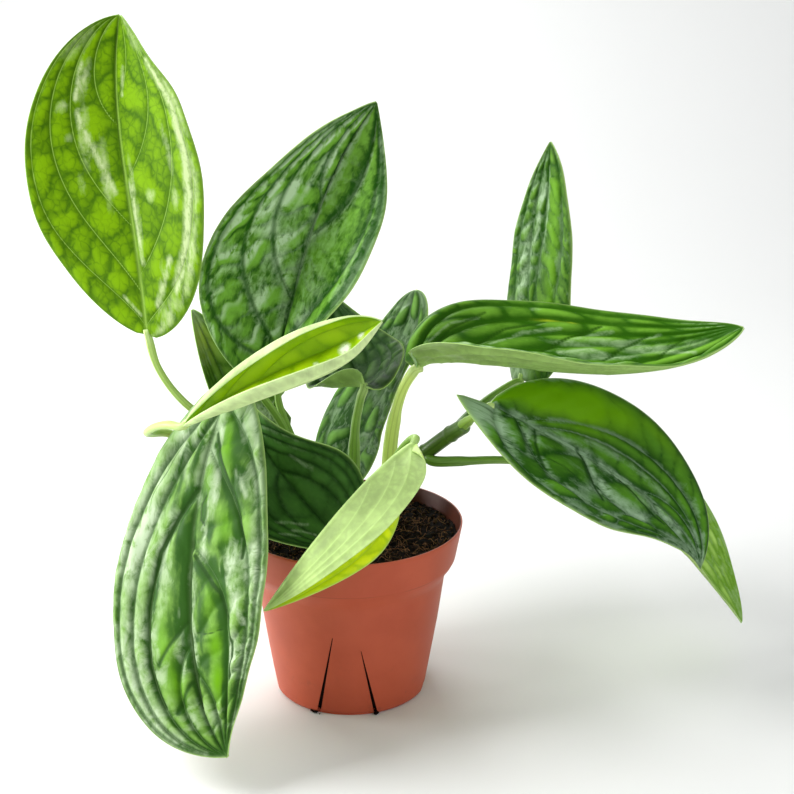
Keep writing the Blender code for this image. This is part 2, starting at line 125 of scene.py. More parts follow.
# Fibres: number, pieces of each, ranges of length, bend, thickness and tilt, and place like the crumbs'.
FIBRES = 900
FIBRE_STEPS = 5
FIBRE_LENGTHS = (2.0, 8.0)
FIBRE_BENDS = (-0.35, 0.35)
FIBRE_SIZES = (0.10, 0.28)
FIBRE_TILTS = (-0.1, 0.35)
FIBRE_WALL_GAP = 1.0
FIBRE_LIFT = 0.25
SLIT_CRUMBS = 60
SLIT_CRUMBS_TOP = 14.0
SPILLED_CRUMBS = 14
OCTAHEDRON = np.array(((1, 0, 0), (-1, 0, 0), (0, 1, 0), (0, -1, 0), (0, 0, 1), (0, 0, -1)), float)
OCTAHEDRON_FACES = ((0, 2, 4), (2, 1, 4), (1, 3, 4), (3, 0, 4), (2, 0, 5), (1, 2, 5), (3, 1, 5), (0, 3, 5))

# Blades: the part's leaf model.
LOBE_SPREAD = 5.0
LOBE_FADE = 5
ROLL_START = 0.5
BEND_STEPS = 16
BASE_END = 1.2
TIP_END = 0.5
NO_ROLL = ((0, 0), (0, 0))
# Mesh of a blade: length of a row, columns to a millimetre of half width, fewest and most of each, and
# how much rows and columns draw together at the ends.
ROW_STEP = 1.15
ROW_LIMITS = (90, 150)
COLUMNS_PER_MM = 1.15
COLUMN_LIMITS = (30, 56)
ROW_EASE = 0.35
COLUMN_EASE = 0.2
# Quilting: share that is bumps between cross creases, left and right of the midrib, how much those slant,
# the size of the cells from the margin inwards, and from which width of a panel it rises and how slowly.
USUAL_BUMPS = (0.58, 0.58)
USUAL_SLANT = 0.6
OUTER_CELL = 0.75
CELL_GROWTH = 0.30
FLAT_PANEL = 1.2
PANEL_RISE = 7.0
# Roundness of bumps and panels, how far creases sway, how even bumps are and how much the masks show them.
CROWN_POWER = 0.6
CREASE_SWAY = 0.42
EVENNESS = 0.62
CROWN_SHADE = 1.2
WRINKLE = 0.10
VEIN_WIDTH = 0.9
FURROW_DEPTH = 0.9
# Wave of the margin: height, length and the half width from which it is full.
WAVE_HEIGHT = 0.5
WAVE_STEP = 7.0
WAVY_WIDTH = 15.0
# Half thickness at the margin and how much it grows over how far, depth of the grooves along the side
# veins, the midrib's half width and height at the base with their losses towards the tip, how much of
# its width is coloured, and how wide the colour of the margin is.
RIM_THICKNESS = 0.22
MORE_THICKNESS = 0.10
THICKENING = 3.0
GROOVE = 0.25
RIB_WIDTH = 1.5
RIB_NARROWING = 0.75
RIB_LEAST = 0.25
RIB_HEIGHT = 1.2
RIB_SINKING = 0.7
RIB_COLOURED = 0.55
RIM_WIDTH = 0.45
# Step in s and t for slopes, and what a divisor is at least.
SMALL_STEP = 1e-4
LEAST = 1e-6
# Output of a mix node that holds a colour.
MIXED_COLOUR = 2

# Leaves. Pairs are left and right of the midrib. Spots are centre and half sizes along s and t, and
# strength, in hundredths. Strokes are half width in mm, strength, and points as s and t in hundredths. Veins
# are where each leaves the midrib, how far out it settles and how slowly it swings out, in hundredths.
# Pale spots and strokes are partly the leaf's silver markings and partly painted highlights and sheen. Lime
# ones are partly new growth and partly painted highlights on crowns, dark ones partly darker green and
# partly painted shade beside the creases. Furrows are grooves in the blade, also painted with shade.
HUNDRED = 100.0
USUAL_VEINS = ((0, 92, 7), (5, 80, 13), (17, 64, 15), (34, 47, 15), (54, 32, 14))
LEAVES = {
    "upper_left": dict(
        midrib=((-99, -22, 203), (-104, -18, 262), (-110, -6, 310), (-108, 1, 355)),
        faces=((-25, 13), (-21, 23)), halves=(51, 51), blunt=0.56, taper=0.7, fold=((2, 17), (6, 18)),
        curl=((-4, 18), (4, 21)), lobes=(1, 2), relief=0.8, cell=11, slot="leaf_lit",
        # Pale spots and strokes: partly silver markings, partly painted sheen streaks.
        pale=((60, -38, 10, 6, 80), (47, -20, 10, 5, 100), (78, -45, 6, 8, 90), (70, -64, 2, 7, 80),
              (60, -54, 1.5, 5, 70), (38, 30, 2, 6, 90), (36, 62, 3, 5, 90), (42, 8, 9, 3, 80),
              (30, 10, 8, 3, 60), (12, 40, 7, 7, 80), (95, 75, 8, 20, 90), (67, 90, 16, 10, 100),
              (41, 86, 14, 9, 100), (20, 84, 14, 9, 90), (5, 70, 6, 20, 90), (90, -80, 6, 20, 60),
              (45, -45, 4, 4, 50), (50, 62, 10, 4, 70)),
        strokes=dict(
            pale=((1.5, 1.3, 68, -46, 63, -41), (2.2, 1.3, 63, -41, 56, -30), (1.6, 1.2, 56, -30, 41, -13),
                  (1.3, 1.2, 43, 5, 31, 6, 19, 8), (1.4, 1.2, 83, -54, 72, -50), (1.2, 0.9, 82, 16, 72, 10),
                  (2.6, 1.5, 84, 84, 64, 88, 47, 84, 36, 80, 24, 76, 13, 66), (1.8, 1.1, 20, 50, 8, 34),
                  (1, 1, 5, -10, 10, -34)),
            furrow=((0.5, 0.7, 44, -2, 60, -2, 95, 0),)),
        veins=(((2, 95, 13), (11, 86, 26), (30, 66, 22), (62, 45, 15)),
               ((2, 90, 10), (16, 80, 19), (44, 72, 20), (70, 40, 15)))),
    "upper_centre": dict(
        midrib=((-36, 1, 180), (-25, 5, 226), (-9, 9, 273), (15, 23, 312)), faces=((-38, 4), (25, 6)),
        halves=(51, 47), blunt=0.54, taper=0.94, fold=((24, 31), (31, 22)), curl=((13, 32), (34, 14)),
        lobes=(15, 4), relief=2.3, cell=7.2, slot="leaf_dark", bumps=(0.6, 0.16),
        pale=((54, -59, 4, 10, 90), (47, -50, 3, 10, 80), (60, -47, 5, 6, 60), (41, -26, 10, 5, 80),
              (38, -72, 2, 8, 80), (32, -72, 2, 8, 70), (26, -36, 12, 6, 70), (66, -30, 10, 5, 70),
              (75, -20, 5, 5, 60), (25, 35, 30, 20, 35), (50, 90, 45, 12, 50), (20, -10, 15, 5, 50)),
        dark=((30, 45, 30, 35, 35), (65, 45, 20, 30, 35), (45, 88, 50, 7, 75)),
        strokes=dict(
            furrow=((0.6, 0.6, 10, -2, 40, -1, 80, 0),)),
        veins=(((0, 92, 6), (3, 84, 26), (25, 74, 27), (60, 40, 15)),
               ((0, 93, 5), (7, 84, 20), (48, 70, 20)))),
    "hanging_front": dict(
        midrib=((-56, -40, 182), (-74, -69, 106), (-70, -97, 52), (-54, -121, 25)),
        faces=((-43, 16), (-40, 45)), halves=(51, 53), blunt=0.69, taper=1.1, fold=((-3, 12), (-5, 11)),
        curl=((-9, 14), (-11, 10)), lobes=(9, 5), relief=3.6, cell=11, slot="leaf_silver", fine=1.4,
        bumps=(0.5, 0.3),
        pale=((30, 75, 30, 28, 75), (70, 80, 25, 24, 70), (21, -30, 5, 8, 80), (35, -57, 6, 10, 90),
              (31, -20, 5, 5, 90), (49, -8, 10, 6, 90), (47, -65, 8, 7, 80), (60, -66, 10, 8, 80),
              (45, -90, 35, 10, 60), (78, -30, 4, 12, 70), (42, 30, 16, 8, 50), (16, 62, 10, 25, 50)),
        # Lime spots: painted highlights on the crowns of the blisters.
        lime=((11, -42, 5, 12, 70), (27, -48, 4, 10, 60), (45, -32, 7, 10, 40), (58, -40, 5, 10, 90),
              (69, -42, 7, 10, 100), (55, 33, 6, 10, 60), (66, 27, 6, 10, 70), (17, -15, 5, 6, 60)),
        dark=((30, 13, 12, 7, 90), (48, 6, 10, 5, 80), (24, -15, 3, 5, 90), (17, -62, 5, 10, 60),
              (52, 22, 5, 6, 60), (20, 30, 8, 6, 50), (45, -48, 10, 3.5, 100), (60, -55, 10, 3.5, 100),
              (74, -52, 6, 3.5, 100), (36, -36, 3, 8, 90), (22, -52, 6, 3, 80), (13, -55, 5, 3, 70),
              (52, -20, 10, 3, 70), (11, -55, 5, 14, 90), (29, -27, 3, 6, 80), (30, -45, 5, 6, 50),
              (62, -22, 3, 10, 60), (50, 14, 5, 5, 70), (62, 18, 3, 10, 60), (24, 10, 6, 5, 80),
              (47, -22, 8, 7, 80), (14, 14, 6, 6, 80), (16, 42, 7, 5, 60), (63, -26, 4, 6, 60)),
        bare=((52, -30, 20, 24, 130), (72, -28, 10, 20, 100), (22, -42, 8, 14, 100), (11, -40, 6, 14, 100),
              (53, 26, 7, 12, 90), (68, 30, 7, 12, 90), (33, 10, 14, 7, 100), (78, 10, 8, 10, 80)),
        strokes=dict(
            furrow=((1.1, 1, 31, -2, 48, -1, 64, -2, 76, -1),
                    (1.1, 1, 34, -7, 37, -20, 43, -44, 52, -60, 60, -66, 70, -64),
                    (1, 0.9, 9, -12, 14, -32, 22, -60, 30, -72, 34, -70),
                    (0.7, 0.9, 21, -14, 23, -8, 26, -10, 27, -17), (1.4, 0.6, 50, 2, 55, 22, 60, 42),
                    (1.4, 0.6, 67, 4, 71, 22, 75, 42),
                    (1.1, 0.9, 20, 2, 26, 22, 34, 40, 46, 50, 60, 56, 72, 55),
                    (0.5, 0.7, 53, -12, 54, -30, 53, -50), (0.5, 0.6, 4, 30, 12, 52, 24, 70),
                    (0.4, 0.6, 36, -74, 37, -96), (0.4, 0.6, 46, -76, 47, -96),
                    (0.4, 0.5, 56, -78, 58, -96)),
            # Dark strokes: painted shade beside the furrows.
            dark=((2.2, 0.75, 36, -10, 40, -28, 47, -46, 55, -54, 68, -56), (2.4, 0.75, 28, 5, 45, 6, 62, 4),
                  (2, 0.6, 26, 18, 34, 34, 46, 44), (2, 0.7, 11, -16, 20, -48, 29, -64),
                  (1.8, 0.7, 51, 5, 56, 25, 60, 42), (1.8, 0.7, 68, 7, 72, 24, 75, 40),
                  (1.6, 0.5, 55, -12, 56, -34)),
            pale=((1.8, 0.9, 32, -20, 37, -44, 44, -66, 52, -80), (1.6, 0.7, 46, 8, 52, 18, 58, 38),
                  (1.6, 0.6, 63, 12, 68, 30), (1, 0.8, 22, -20, 25, -22, 28, -14),
                  (1.4, 0.6, 8, -22, 20, -74))),
        veins=(((2, 93, 5), (12, 84, 9), (32, 58, 7), (64, 38, 10)),
               ((0, 92, 12), (4, 80, 20), (21, 58, 13), (56, 36, 10)))),
    "lime_young": dict(
        midrib=((-74, -79, 174), (-38, -86, 198), (-7, -84, 212), (18, -87, 226)),
        faces=((30, 44), (38, 48)), halves=(20, 29), blunt=0.82, taper=0.7, fold=((26, 27), (24, 15)),
        curl=((30, 30), (40, 20)), roll=((200, 70), (120, 70)), lobes=(2, 3), relief=0.35, cell=9,
        slot="leaf_lime",
        # Pale spots: painted white highlights.
        pale=((76, 20, 2.8, 12, 200), (87, 10, 1.8, 11, 180), (66, 36, 1.8, 10, 160), (60, 25, 1.2, 8, 120)),
        lime=((35, -30, 20, 30, 70), (70, -40, 15, 25, 50)),
        veins=(USUAL_VEINS[1:4], USUAL_VEINS[1:4])),
    "pale_front": dict(
        midrib=((34, -51, 156), (13, -70, 145), (-12, -86, 121), (-38, -95, 87)),
        faces=((75, -39), (75, -39)), halves=(36, 27), blunt=0.52, taper=0.95, fold=((15, 95), (38, 62)),
        curl=((5, 5), (8, 8)), lobes=(2, -8), relief=0.7, cell=12, slot="leaf_pale",
        pale=((0, 0, 12, 300, 200),),
        veins=(USUAL_VEINS[1:4], USUAL_VEINS[1:4])),
    "low_dark": dict(
        midrib=((-49, -16, 157), (-36, -20, 131), (-18, -25, 109), (-2, -31, 91)),
        faces=((-35, 34), (-28, 71)), halves=(35, 36), blunt=0.67, taper=0.63, fold=((24, 24), (15, 30)),
        curl=((20, 13), (0, 29)), lobes=(9, 3), relief=1.1, cell=9, slot="leaf_dark", bumps=(0.4, 0.4),
        strokes=dict(
            pale=((0.8, 1.4, 66, 60, 78, 40), (0.8, 1.2, 56, 62, 70, 30), (0.7, 1, 62, 80, 72, 66),
                  (1, 0.8, 30, -40, 45, -45))),
        veins=(USUAL_VEINS[:4], USUAL_VEINS[:4])),
    "twisted_back": dict(
        midrib=((-34, 22, 136), (-52, 27, 139), (-68, 35, 161), (-86, 42, 200)), faces=((14, 26), (15, 31)),
        halves=(18, 28), blunt=0.39, taper=0.74, fold=((19, 24), (23, 25)), curl=((11, 20), (18, 20)),
        lobes=(3, 6), relief=1.3, cell=8, slot="leaf_dark",
        # The first pale spot is a painted sheen along the margin.
        pale=((98.5, -90, 5, 90, 250), (30, 30, 20, 20, 80)),
        lime=((93, -80, 12, 90, 80),),
        veins=(USUAL_VEINS[:4], USUAL_VEINS[:4])),
    "centre_back": dict(
        midrib=((8, 0, 170), (6, 28, 163), (-3, 56, 174), (-18, 86, 204)), faces=((0, 30), (-4, 36)),
        halves=(30, 30), blunt=0.53, taper=0.99, fold=((14, 13), (18, 14)), curl=((7, 7), (14, 8)),
        lobes=(3, 3), relief=2.2, cell=10, slot="leaf_dark", bumps=(0.75, 0.75),
        veins=(USUAL_VEINS[1:4], USUAL_VEINS[1:4])),
    "tall_back": dict(
        midrib=((-2, 23, 107), (3, 51, 135), (22, 63, 168), (35, 79, 202)), faces=((-30, 60), (-30, 60)),
        halves=(28, 30), blunt=0.38, taper=0.55, fold=((-8, -3), (16, 16)), curl=((-19, -9), (19, 16)),
        lobes=(4, 6), relief=2.2, cell=12, slot="leaf_silver", bumps=(0.85, 0.85),
        veins=(((2, 80, 12), (26, 50, 16)), ((2, 80, 12), (18, 52, 16)))),
    "right_wide": dict(
        midrib=((35, -9, 182), (77, -15, 185), (142, -19, 182), (197, -21, 206)), faces=((1, 91), (1, 81)),
        halves=(44, 44), blunt=0.38, taper=0.62, fold=((23, 27), (22, 19)), curl=((16, 22), (16, 10)),
        lobes=(8, -6), relief=3.4, cell=17, slot="leaf_dark", slant=1, bumps=(0.45, 0.6),
        # Pale spots and strokes: painted highlights on the flanks and along the ridges.
        pale=((65, -48, 10, 6, 90), (74, -38, 8, 7, 100), (60, -25, 10, 6, 90), (52, -42, 7, 3, 80),
              (85, -35, 5, 10, 70)),
        lime=((45.5, -73, 3, 1.5, 120), (52, -73, 1.2, 1.2, 100)),
        strokes=dict(
            pale=((1, 0.8, 30, -28, 39, -52, 49, -62), (1.1, 0.9, 50, -40, 57, -58, 63, -66),
                  (1.3, 1, 49, -25, 57, -33, 65, -22), (1.3, 1, 71, -34, 80, -27, 85, -12),
                  (0.9, 0.7, 9, -43, 17, -64, 26, -70), (0.9, 0.8, 66, -48, 71, -56, 77, -64)),
            furrow=((1.1, 0.7, 26, -30, 34, -54, 45, -70), (1.1, 0.8, 44, -26, 52, -52, 60, -72),
                    (1.1, 0.8, 60, -18, 66, -42, 73, -62), (1, 0.7, 74, -16, 79, -38, 84, -54),
                    (1, 0.6, 10, -30, 17, -56, 28, -76))),
        veins=(((0, 92, 7), (3, 80, 16), (13, 66, 20), (27, 54, 20), (43, 44, 20), (60, 34, 18)),
               USUAL_VEINS[1:4])),
    "right_upright": dict(
        midrib=((95, 60, 156), (101, 55, 206), (105, 48, 251), (106, 52, 289)), faces=((-52, 25), (-47, 28)),
        halves=(26, 29), blunt=0.4, taper=0.92, fold=((-7, 9), (-4, 8)), curl=((-15, 13), (-8, 8)),
        lobes=(7, 3), relief=2.1, cell=8, slot="leaf_silver", bumps=(0.75, 0.6),
        pale=((0, -30, 5, 70, 130), (30, -45, 35, 14, 70), (65, -25, 20, 10, 60)),
        strokes=dict(
            pale=((0.9, 0.9, 80, -10, 66, -22, 60, -14, 50, -34, 42, -26, 30, -50),
                  (0.8, 0.7, 58, -42, 46, -56, 36, -50), (0.8, 0.6, 88, 4, 70, 12, 55, 6)),
            lime=((4, 0.4, 30, 50, 80, 45),)),
        veins=(((2, 80, 12), (22, 44, 16)), ((5, 74, 22),))),
    "right_lower": dict(
        midrib=((72, -21, 166), (119, -23, 140), (159, -33, 114), (177, -51, 88)),
        faces=((26, 44), (35, 31)), halves=(40, 42), blunt=0.74, taper=1.2, fold=((6, 4), (9, 13)),
        curl=((8, 7), (11, 15)), lobes=(1, 22), relief=3, cell=13, slot="leaf_dark", bumps=(0.15, 0.6),
        pale=((2, 90, 6, 40, 100), (8, 60, 6, 20, 80), (25, 30, 10, 6, 60), (46, 45, 10, 12, 60),
              (45, 5, 20, 5, 50), (62, 20, 10, 6, 50)),
        lime=((5, -75, 10, 34, 140), (16, -58, 10, 30, 150), (27, -62, 10, 28, 150), (38, -72, 8, 20, 90),
              (50, -86, 10, 10, 50)),
        bare=((26, 34, 7, 16, 100), (31, 58, 6, 12, 80), (70, 50, 8, 14, 80)),
        strokes=dict(
            pale=((2.2, 0.8, 8, -6, 20, 0, 30, -4, 41, 0, 55, 7), (2.8, 0.8, 55, 7, 64, 14, 78, 14),
                  (3, 1.5, 0, 95, 4, 82, 9, 62), (3.4, 0.8, 42, 32, 52, 44, 62, 48),
                  (2.2, 0.5, 31, -18, 47, -22, 66, -20), (1.8, 0.5, 14, 10, 15, 39, 19, 62)),
            furrow=((1, 0.8, 31, -2, 35, 12, 40, 36, 46, 58), (0.9, 0.7, 16, 4, 18, 34, 24, 60),
                    (0.9, 0.7, 48, 6, 58, 24, 72, 38), (0.7, 0.6, 24, 44, 30, 42, 38, 48))),
        veins=(((10, 60, 20), (16, 34, 12), (57, 26, 10)),
               ((0, 92, 6), (9, 76, 9), (34, 60, 9), (62, 36, 9)))),
    "right_under": dict(
        midrib=((114, 20, 116), (153, 22, 97), (187, 24, 65), (220, 22, 23)), faces=((30, 59), (35, 64)),
        halves=(38, 38), blunt=0.53, taper=0.82, fold=((21, 16), (23, 23)), curl=((14, 5), (16, 18)),
        lobes=(3, 3), relief=1.9, cell=9, slot="leaf_mid",
        veins=(USUAL_VEINS, USUAL_VEINS)),
}

# Stalks, as in the part.
FEET = {
    "vine_stem": (15, 27), "upper_left": (-26, 2), "upper_centre": (-14, 9), "hanging_front": (-22, -10),
    "lime_young": (-42, 0), "pale_front": (13, -14), "low_dark": (-34, 10), "twisted_back": (-24, 24),
    "centre_back": (1, 4), "tall_back": (-6, 20), "right_wide": (20, 9),
}
FOOT_HEIGHTS = (84.0, 88.0, 92.0)
STEM_PATH = ((18, 25, 104), (30, 21, 117), (41, 15, 128), (52, 6, 140), (61, -5, 150))
PETIOLES = {
    "upper_left": ((-36, -1, 122), (-62, -7, 144), (-84, -13, 165), (-95, -18, 184), (-98.6, -21.9, 202.1)),
    "upper_centre": ((-22, 8, 116), (-31, 6, 140), (-37, 4, 160), (-36.6, 2.6, 177.6)),
    "hanging_front": ((-25, -6, 120), (-34, -9, 150), (-46, -20, 174), (-52, -30, 185),
                      (-55.4, -38.2, 184.3)),
    "lime_young": ((-48, -1, 110), (-72, -4, 134), (-91, -12, 147), (-99, -28, 153), (-97, -46, 160),
                   (-90, -62, 168), (-82, -74, 173), (-75, -80, 174)),
    "pale_front": ((18, -20, 122), (25, -31, 142), (31, -42, 154), (34.2, -49.6, 157.6)),
    "low_dark": ((-40, 7, 118), (-46, -3, 144), (-48.7, -13.8, 158.6)),
    "twisted_back": ((-26, 25, 114), (-29, 24, 128), (-32.8, 22.8, 134.7)),
    "centre_back": ((2, 4, 120), (3, 3, 145), (6, 1, 162), (7.8, 0, 167.4)),
    "tall_back": ((-5, 21, 98), (-3.6, 21.7, 104)),
    "right_wide": ((21, 8, 128), (24, 3, 152), (28, -2, 168), (33.9, -7.7, 180)),
    "right_upright": ((59.5, 3.9, 148), (70, 22, 152), (82, 42, 154), (91, 56, 154.6), (94.3, 59.8, 153.6)),
    "right_lower": ((60, -6.1, 150.6), (67, -16, 160), (70.7, -20.7, 164.7)),
    "right_under": ((44.6, 9.4, 124.6), (58, 8, 125), (80, 10, 125), (100, 16, 121), (112.4, 19.6, 115.6)),
}
PETIOLE_SIZES = {"right_wide": (4.0, 2.4), "centre_back": (3.5, 2.0)}
USUAL_SIZE = (2.6, 1.7)
INTO_BLADE = 2.5
SHEATH_ENDS = {"right_wide": 0.66, "centre_back": 0.62, "lime_young": 0.15}
USUAL_SHEATH_END = 0.30
# Winged sheath around the lower part of a petiole: thickness, width of the wings as a share of the
# petiole, and the share of its length over which it ends.
SHEATH = 0.25
WINGS = 0.10
SHEATH_FADE = 0.012
# Swollen joint: length, over how much of it the colour changes, how much it swells, and where and over
# what share of the petiole.
JOINT_LENGTH = 9.0
JOINT_BLEND = 4.0
JOINT_SWELL = 0.35
JOINT_PLACE = 0.94
JOINT_SPREAD = 0.05
# Channel: turn about the stalk at which it lies, a little to the right of the front, its half width and
# the place of its edges as turns, its depth, and how much deeper it is in the sheath.
CHANNEL_TURN = 1.9
CHANNEL_WIDTH = 0.30
CHANNEL_EDGE = 0.42
CHANNEL_DEPTH = 0.25
SHEATH_CHANNEL = 0.35
# Points inside the vine stem from which the petioles on it start.
INTO_STEM = {"right_upright": ((57, -1, 146),), "right_lower": ((59, -3, 148),),
             "right_under": ((40, 15, 126),)}
# Vine: radius, its loss towards the end, shares of the length at which nodes stand out, their height and
# half width, and from where and by how much the end is rounded.
VINE_RADIUS = 4.6
VINE_NARROWING = 0.5
VINE_NODES = (0.36, 0.60, 0.84)
NODE_HEIGHT = 0.55
NODE_WIDTH = 0.012
VINE_END = 0.97
VINE_ROUNDING = 2.0
# Points of a curve between two given ones, and what fixes where turns start on a stalk.
CURVE_STEPS = 12
START_SIDE = (0.3, 1.0, 0.2)

# Side of the window: painted light and painted sheen lie on the flanks of the relief that face this way.
WINDOW_SIDE = (-0.62, -0.20, 0.76)

# Looks of the leaves. Colours are linear: deep in the creases and low places, where it is painted shade,
# and in the net and darker patches, fresh on the panels and their crowns, where it is painted light, silver
# for the leaf's silver markings and for painted sheen and highlights, lime for new growth and for painted
# highlights on crowns, under for the underside and the margin, vein for the pale lines. Low and high are the
# levels between which deep turns into fresh. Blotch, streak, net and fold say how much broad patches,
# streaks, the net and the creases move that level, the creases as painted shade, and mesh and thread are the
# scale of the net and the width of its lines. Cut is how much deep lies along the veins as painted shade,
# line how clear the pale lines are, and haze, sheen and valley how much silver lies in clouds, as painted
# sheen on flanks towards the window, and beside the veins.
USUAL_LOOK = dict(
    lime=(0.16, 0.4, 0.006), under=(0.36, 0.56, 0.15), vein=(0.14, 0.3, 0.06), low=0.05, high=0.95,
    blotch=0.4, streak=0.6, net=0.15, mesh=0.16, thread=0.3, fold=0.35, cut=0.45, line=0, haze=0.1,
    sheen=0.6, valley=0.35, rough=0.48, gloss=0.08)
LOOKS = {
    "upper_left": dict(
        deep=(0.048, 0.13, 0.001), fresh=(0.175, 0.35, 0.001), silver=(0.44, 0.55, 0.26),
        lime=(0.24, 0.42, 0.004), under=(0.24, 0.42, 0.05), vein=(0.27, 0.44, 0.07), low=-0.15, high=0.74,
        blotch=0.2, streak=0.5, net=0.34, mesh=0.21, thread=0.13, cut=0.34, line=0.7, haze=0, sheen=0.3,
        valley=0, rough=0.55, gloss=0.05),
    "upper_centre": dict(
        deep=(0.017, 0.09, 0.004), fresh=(0.2, 0.46, 0.05), silver=(0.5, 0.69, 0.41), high=0.9, blotch=0.45,
        streak=1.1, net=0.07, fold=0.24, cut=0.66, haze=0.25, sheen=0.95),
    "hanging_front": dict(
        deep=(0.024, 0.085, 0.008), fresh=(0.19, 0.37, 0.06), silver=(0.42, 0.53, 0.34),
        lime=(0.12, 0.32, 0.002), vein=(0.34, 0.5, 0.22), blotch=0.45, streak=0.7, net=0.16, mesh=0.14,
        fold=0.05, cut=0.65, line=0.12, haze=0.6, sheen=0.66, valley=0.12),
    "lime_young": dict(
        deep=(0.24, 0.44, 0.002), fresh=(0.46, 0.68, 0.004), silver=(0.92, 0.97, 0.8), lime=(0.6, 0.8, 0.01),
        under=(0.68, 0.87, 0.38), vein=(0.22, 0.4, 0.003), net=0.14, cut=0, line=0.6, haze=0, sheen=0,
        valley=0, rough=0.3, gloss=0.2),
    "pale_front": dict(
        deep=(0.42, 0.62, 0.002), fresh=(0.8, 0.95, 0.008), silver=(0.62, 0.78, 0.3), lime=(0.5, 0.7, 0.02),
        under=(0.54, 0.75, 0.25), vein=(0.45, 0.63, 0.06), net=0.15, cut=0, line=0.4, haze=0, sheen=0.1,
        valley=0, rough=0.35),
    "low_dark": dict(
        deep=(0.009, 0.042, 0.006), fresh=(0.09, 0.24, 0.045), silver=(0.3, 0.42, 0.25), low=-0.1, high=1.1,
        net=0.1, fold=0.08, cut=0.22, valley=0.1),
    "twisted_back": dict(
        deep=(0.034, 0.105, 0.004), fresh=(0.15, 0.28, 0.04), silver=(0.36, 0.45, 0.3),
        lime=(0.62, 0.74, 0.14)),
    "centre_back": dict(
        deep=(0.009, 0.04, 0.003), fresh=(0.06, 0.13, 0.028), silver=(0.17, 0.25, 0.14), sheen=0.5,
        valley=0.2, gloss=0.06),
    "tall_back": dict(
        deep=(0.011, 0.054, 0.003), fresh=(0.12, 0.27, 0.04), silver=(0.36, 0.5, 0.3), sheen=0.9),
    "right_wide": dict(
        deep=(0.027, 0.12, 0.001), fresh=(0.21, 0.48, 0.04), silver=(0.4, 0.58, 0.3),
        lime=(0.42, 0.55, 0.02), blotch=0.15, streak=0.45, net=0.06, fold=0.6, cut=0.32, haze=0, sheen=1.0,
        valley=0.06),
    "right_upright": dict(
        deep=(0.016, 0.072, 0.003), fresh=(0.11, 0.25, 0.022), silver=(0.3, 0.43, 0.25), streak=1.0),
    "right_lower": dict(
        deep=(0.01, 0.06, 0.003), fresh=(0.09, 0.26, 0.016), silver=(0.29, 0.43, 0.27),
        lime=(0.15, 0.37, 0.001), vein=(0.15, 0.26, 0.14), blotch=0.25, cut=0.3, line=0.45, valley=0.7),
    "right_under": dict(
        deep=(0.15, 0.34, 0.02), fresh=(0.52, 0.8, 0.18), silver=(0.7, 0.88, 0.55)),
}


def unit(vectors):
    return vectors / np.linalg.norm(vectors, axis=-1, keepdims=True)


def look(right, up):
    """Unit vector that looks right degrees to the right of the front and up degrees upwards."""
    a, b = math.radians(right), math.radians(up)
    return np.array((math.sin(a) * math.cos(b), -math.cos(a) * math.cos(b), math.sin(b)))


def fullness(leaf):
    """Greatest value of the outline's power curve, by which it is divided to reach one."""
    peak = leaf["blunt"] / (leaf["blunt"] + leaf["taper"])
    return peak ** leaf["blunt"] * (1 - peak) ** leaf["taper"]


def half_width(leaf, s):
    return s ** leaf["blunt"] * (1 - s) ** leaf["taper"] / fullness(leaf)


def pick(pair, t):
    """The left or the right one of a pair of values, by the sign of t."""
    return np.where(t > 0, pair[1], pair[0])


def blade_length(leaf):
    return np.linalg.norm(np.diff(np.array(leaf["midrib"], float), axis=0), axis=1).sum()


def blade_sheet(leaf, s, t):
    """Points of the smooth blade at stations s (0 base, 1 tip) and t (-1 left margin, 1 right)."""
    knots = np.linspace(0, 1, 4)
    cubic = np.polyfit(knots, np.array(leaf["midrib"], float), 3)
    spine = np.stack([np.polyval(cubic[:, k], s) for k in range(3)], -1)
    slope = np.stack([np.polyval(np.polyder(cubic[:, k]), s) for k in range(3)], -1)
    along = unit(slope)
    faces = [look(*pair) for pair in leaf["faces"]]
    facing = unit(faces[0] * (1 - s[..., None]) + faces[1] * s[..., None])
    normal = unit(facing - (facing * along).sum(-1, keepdims=True) * along)
    across = np.cross(along, normal)

    def blend(pairs):
        ends = [pick((pairs[0][k], pairs[1][k]), t) for k in (0, 1)]
        return np.radians(ends[0] * (1 - s) + ends[1] * s)

    reach = np.abs(t)
    width = pick(leaf["halves"], t) * half_width(leaf, s)
    steps = (np.arange(BEND_STEPS) + 0.5) / BEND_STEPS
    path = reach[..., None] * steps
    turned = blend(leaf["fold"])[..., None] + blend(leaf["curl"])[..., None] * path
    rolled = np.clip((path - ROLL_START) / (1 - ROLL_START), 0, 1)
    turned += blend(leaf.get("roll", NO_ROLL))[..., None] * rolled
    out = np.sign(t) * width * reach * np.cos(turned).mean(-1)
    rise = width * reach * np.sin(turned).mean(-1)
    lobe = pick(leaf["lobes"], t)
    back = lobe * (1 - s) ** LOBE_FADE * reach ** 2 * np.clip(width * reach / LOBE_SPREAD, 0, 1)
    return spine + across * out[..., None] + normal * rise[..., None] - along * back[..., None]


def wander(a, b, seed):
    """Smooth uneven number between -1 and 1 over two coordinates."""
    return (np.sin(a + 1.7 * b + seed) + np.sin(0.8 * b - 1.3 * a + 2.1 * seed)
            + np.sin(2.3 * a - 1.9 * b + 3.7 * seed)) / 3


def spots(places, s, t):
    """Soft oval spots."""
    total = np.zeros_like(s)
    for place in places:
        s0, t0, ds, dt, amount = np.array(place) / HUNDRED
        total = np.maximum(total, amount * np.exp(-((s - s0) / ds) ** 2 - ((t - t0) / dt) ** 2))
    return total


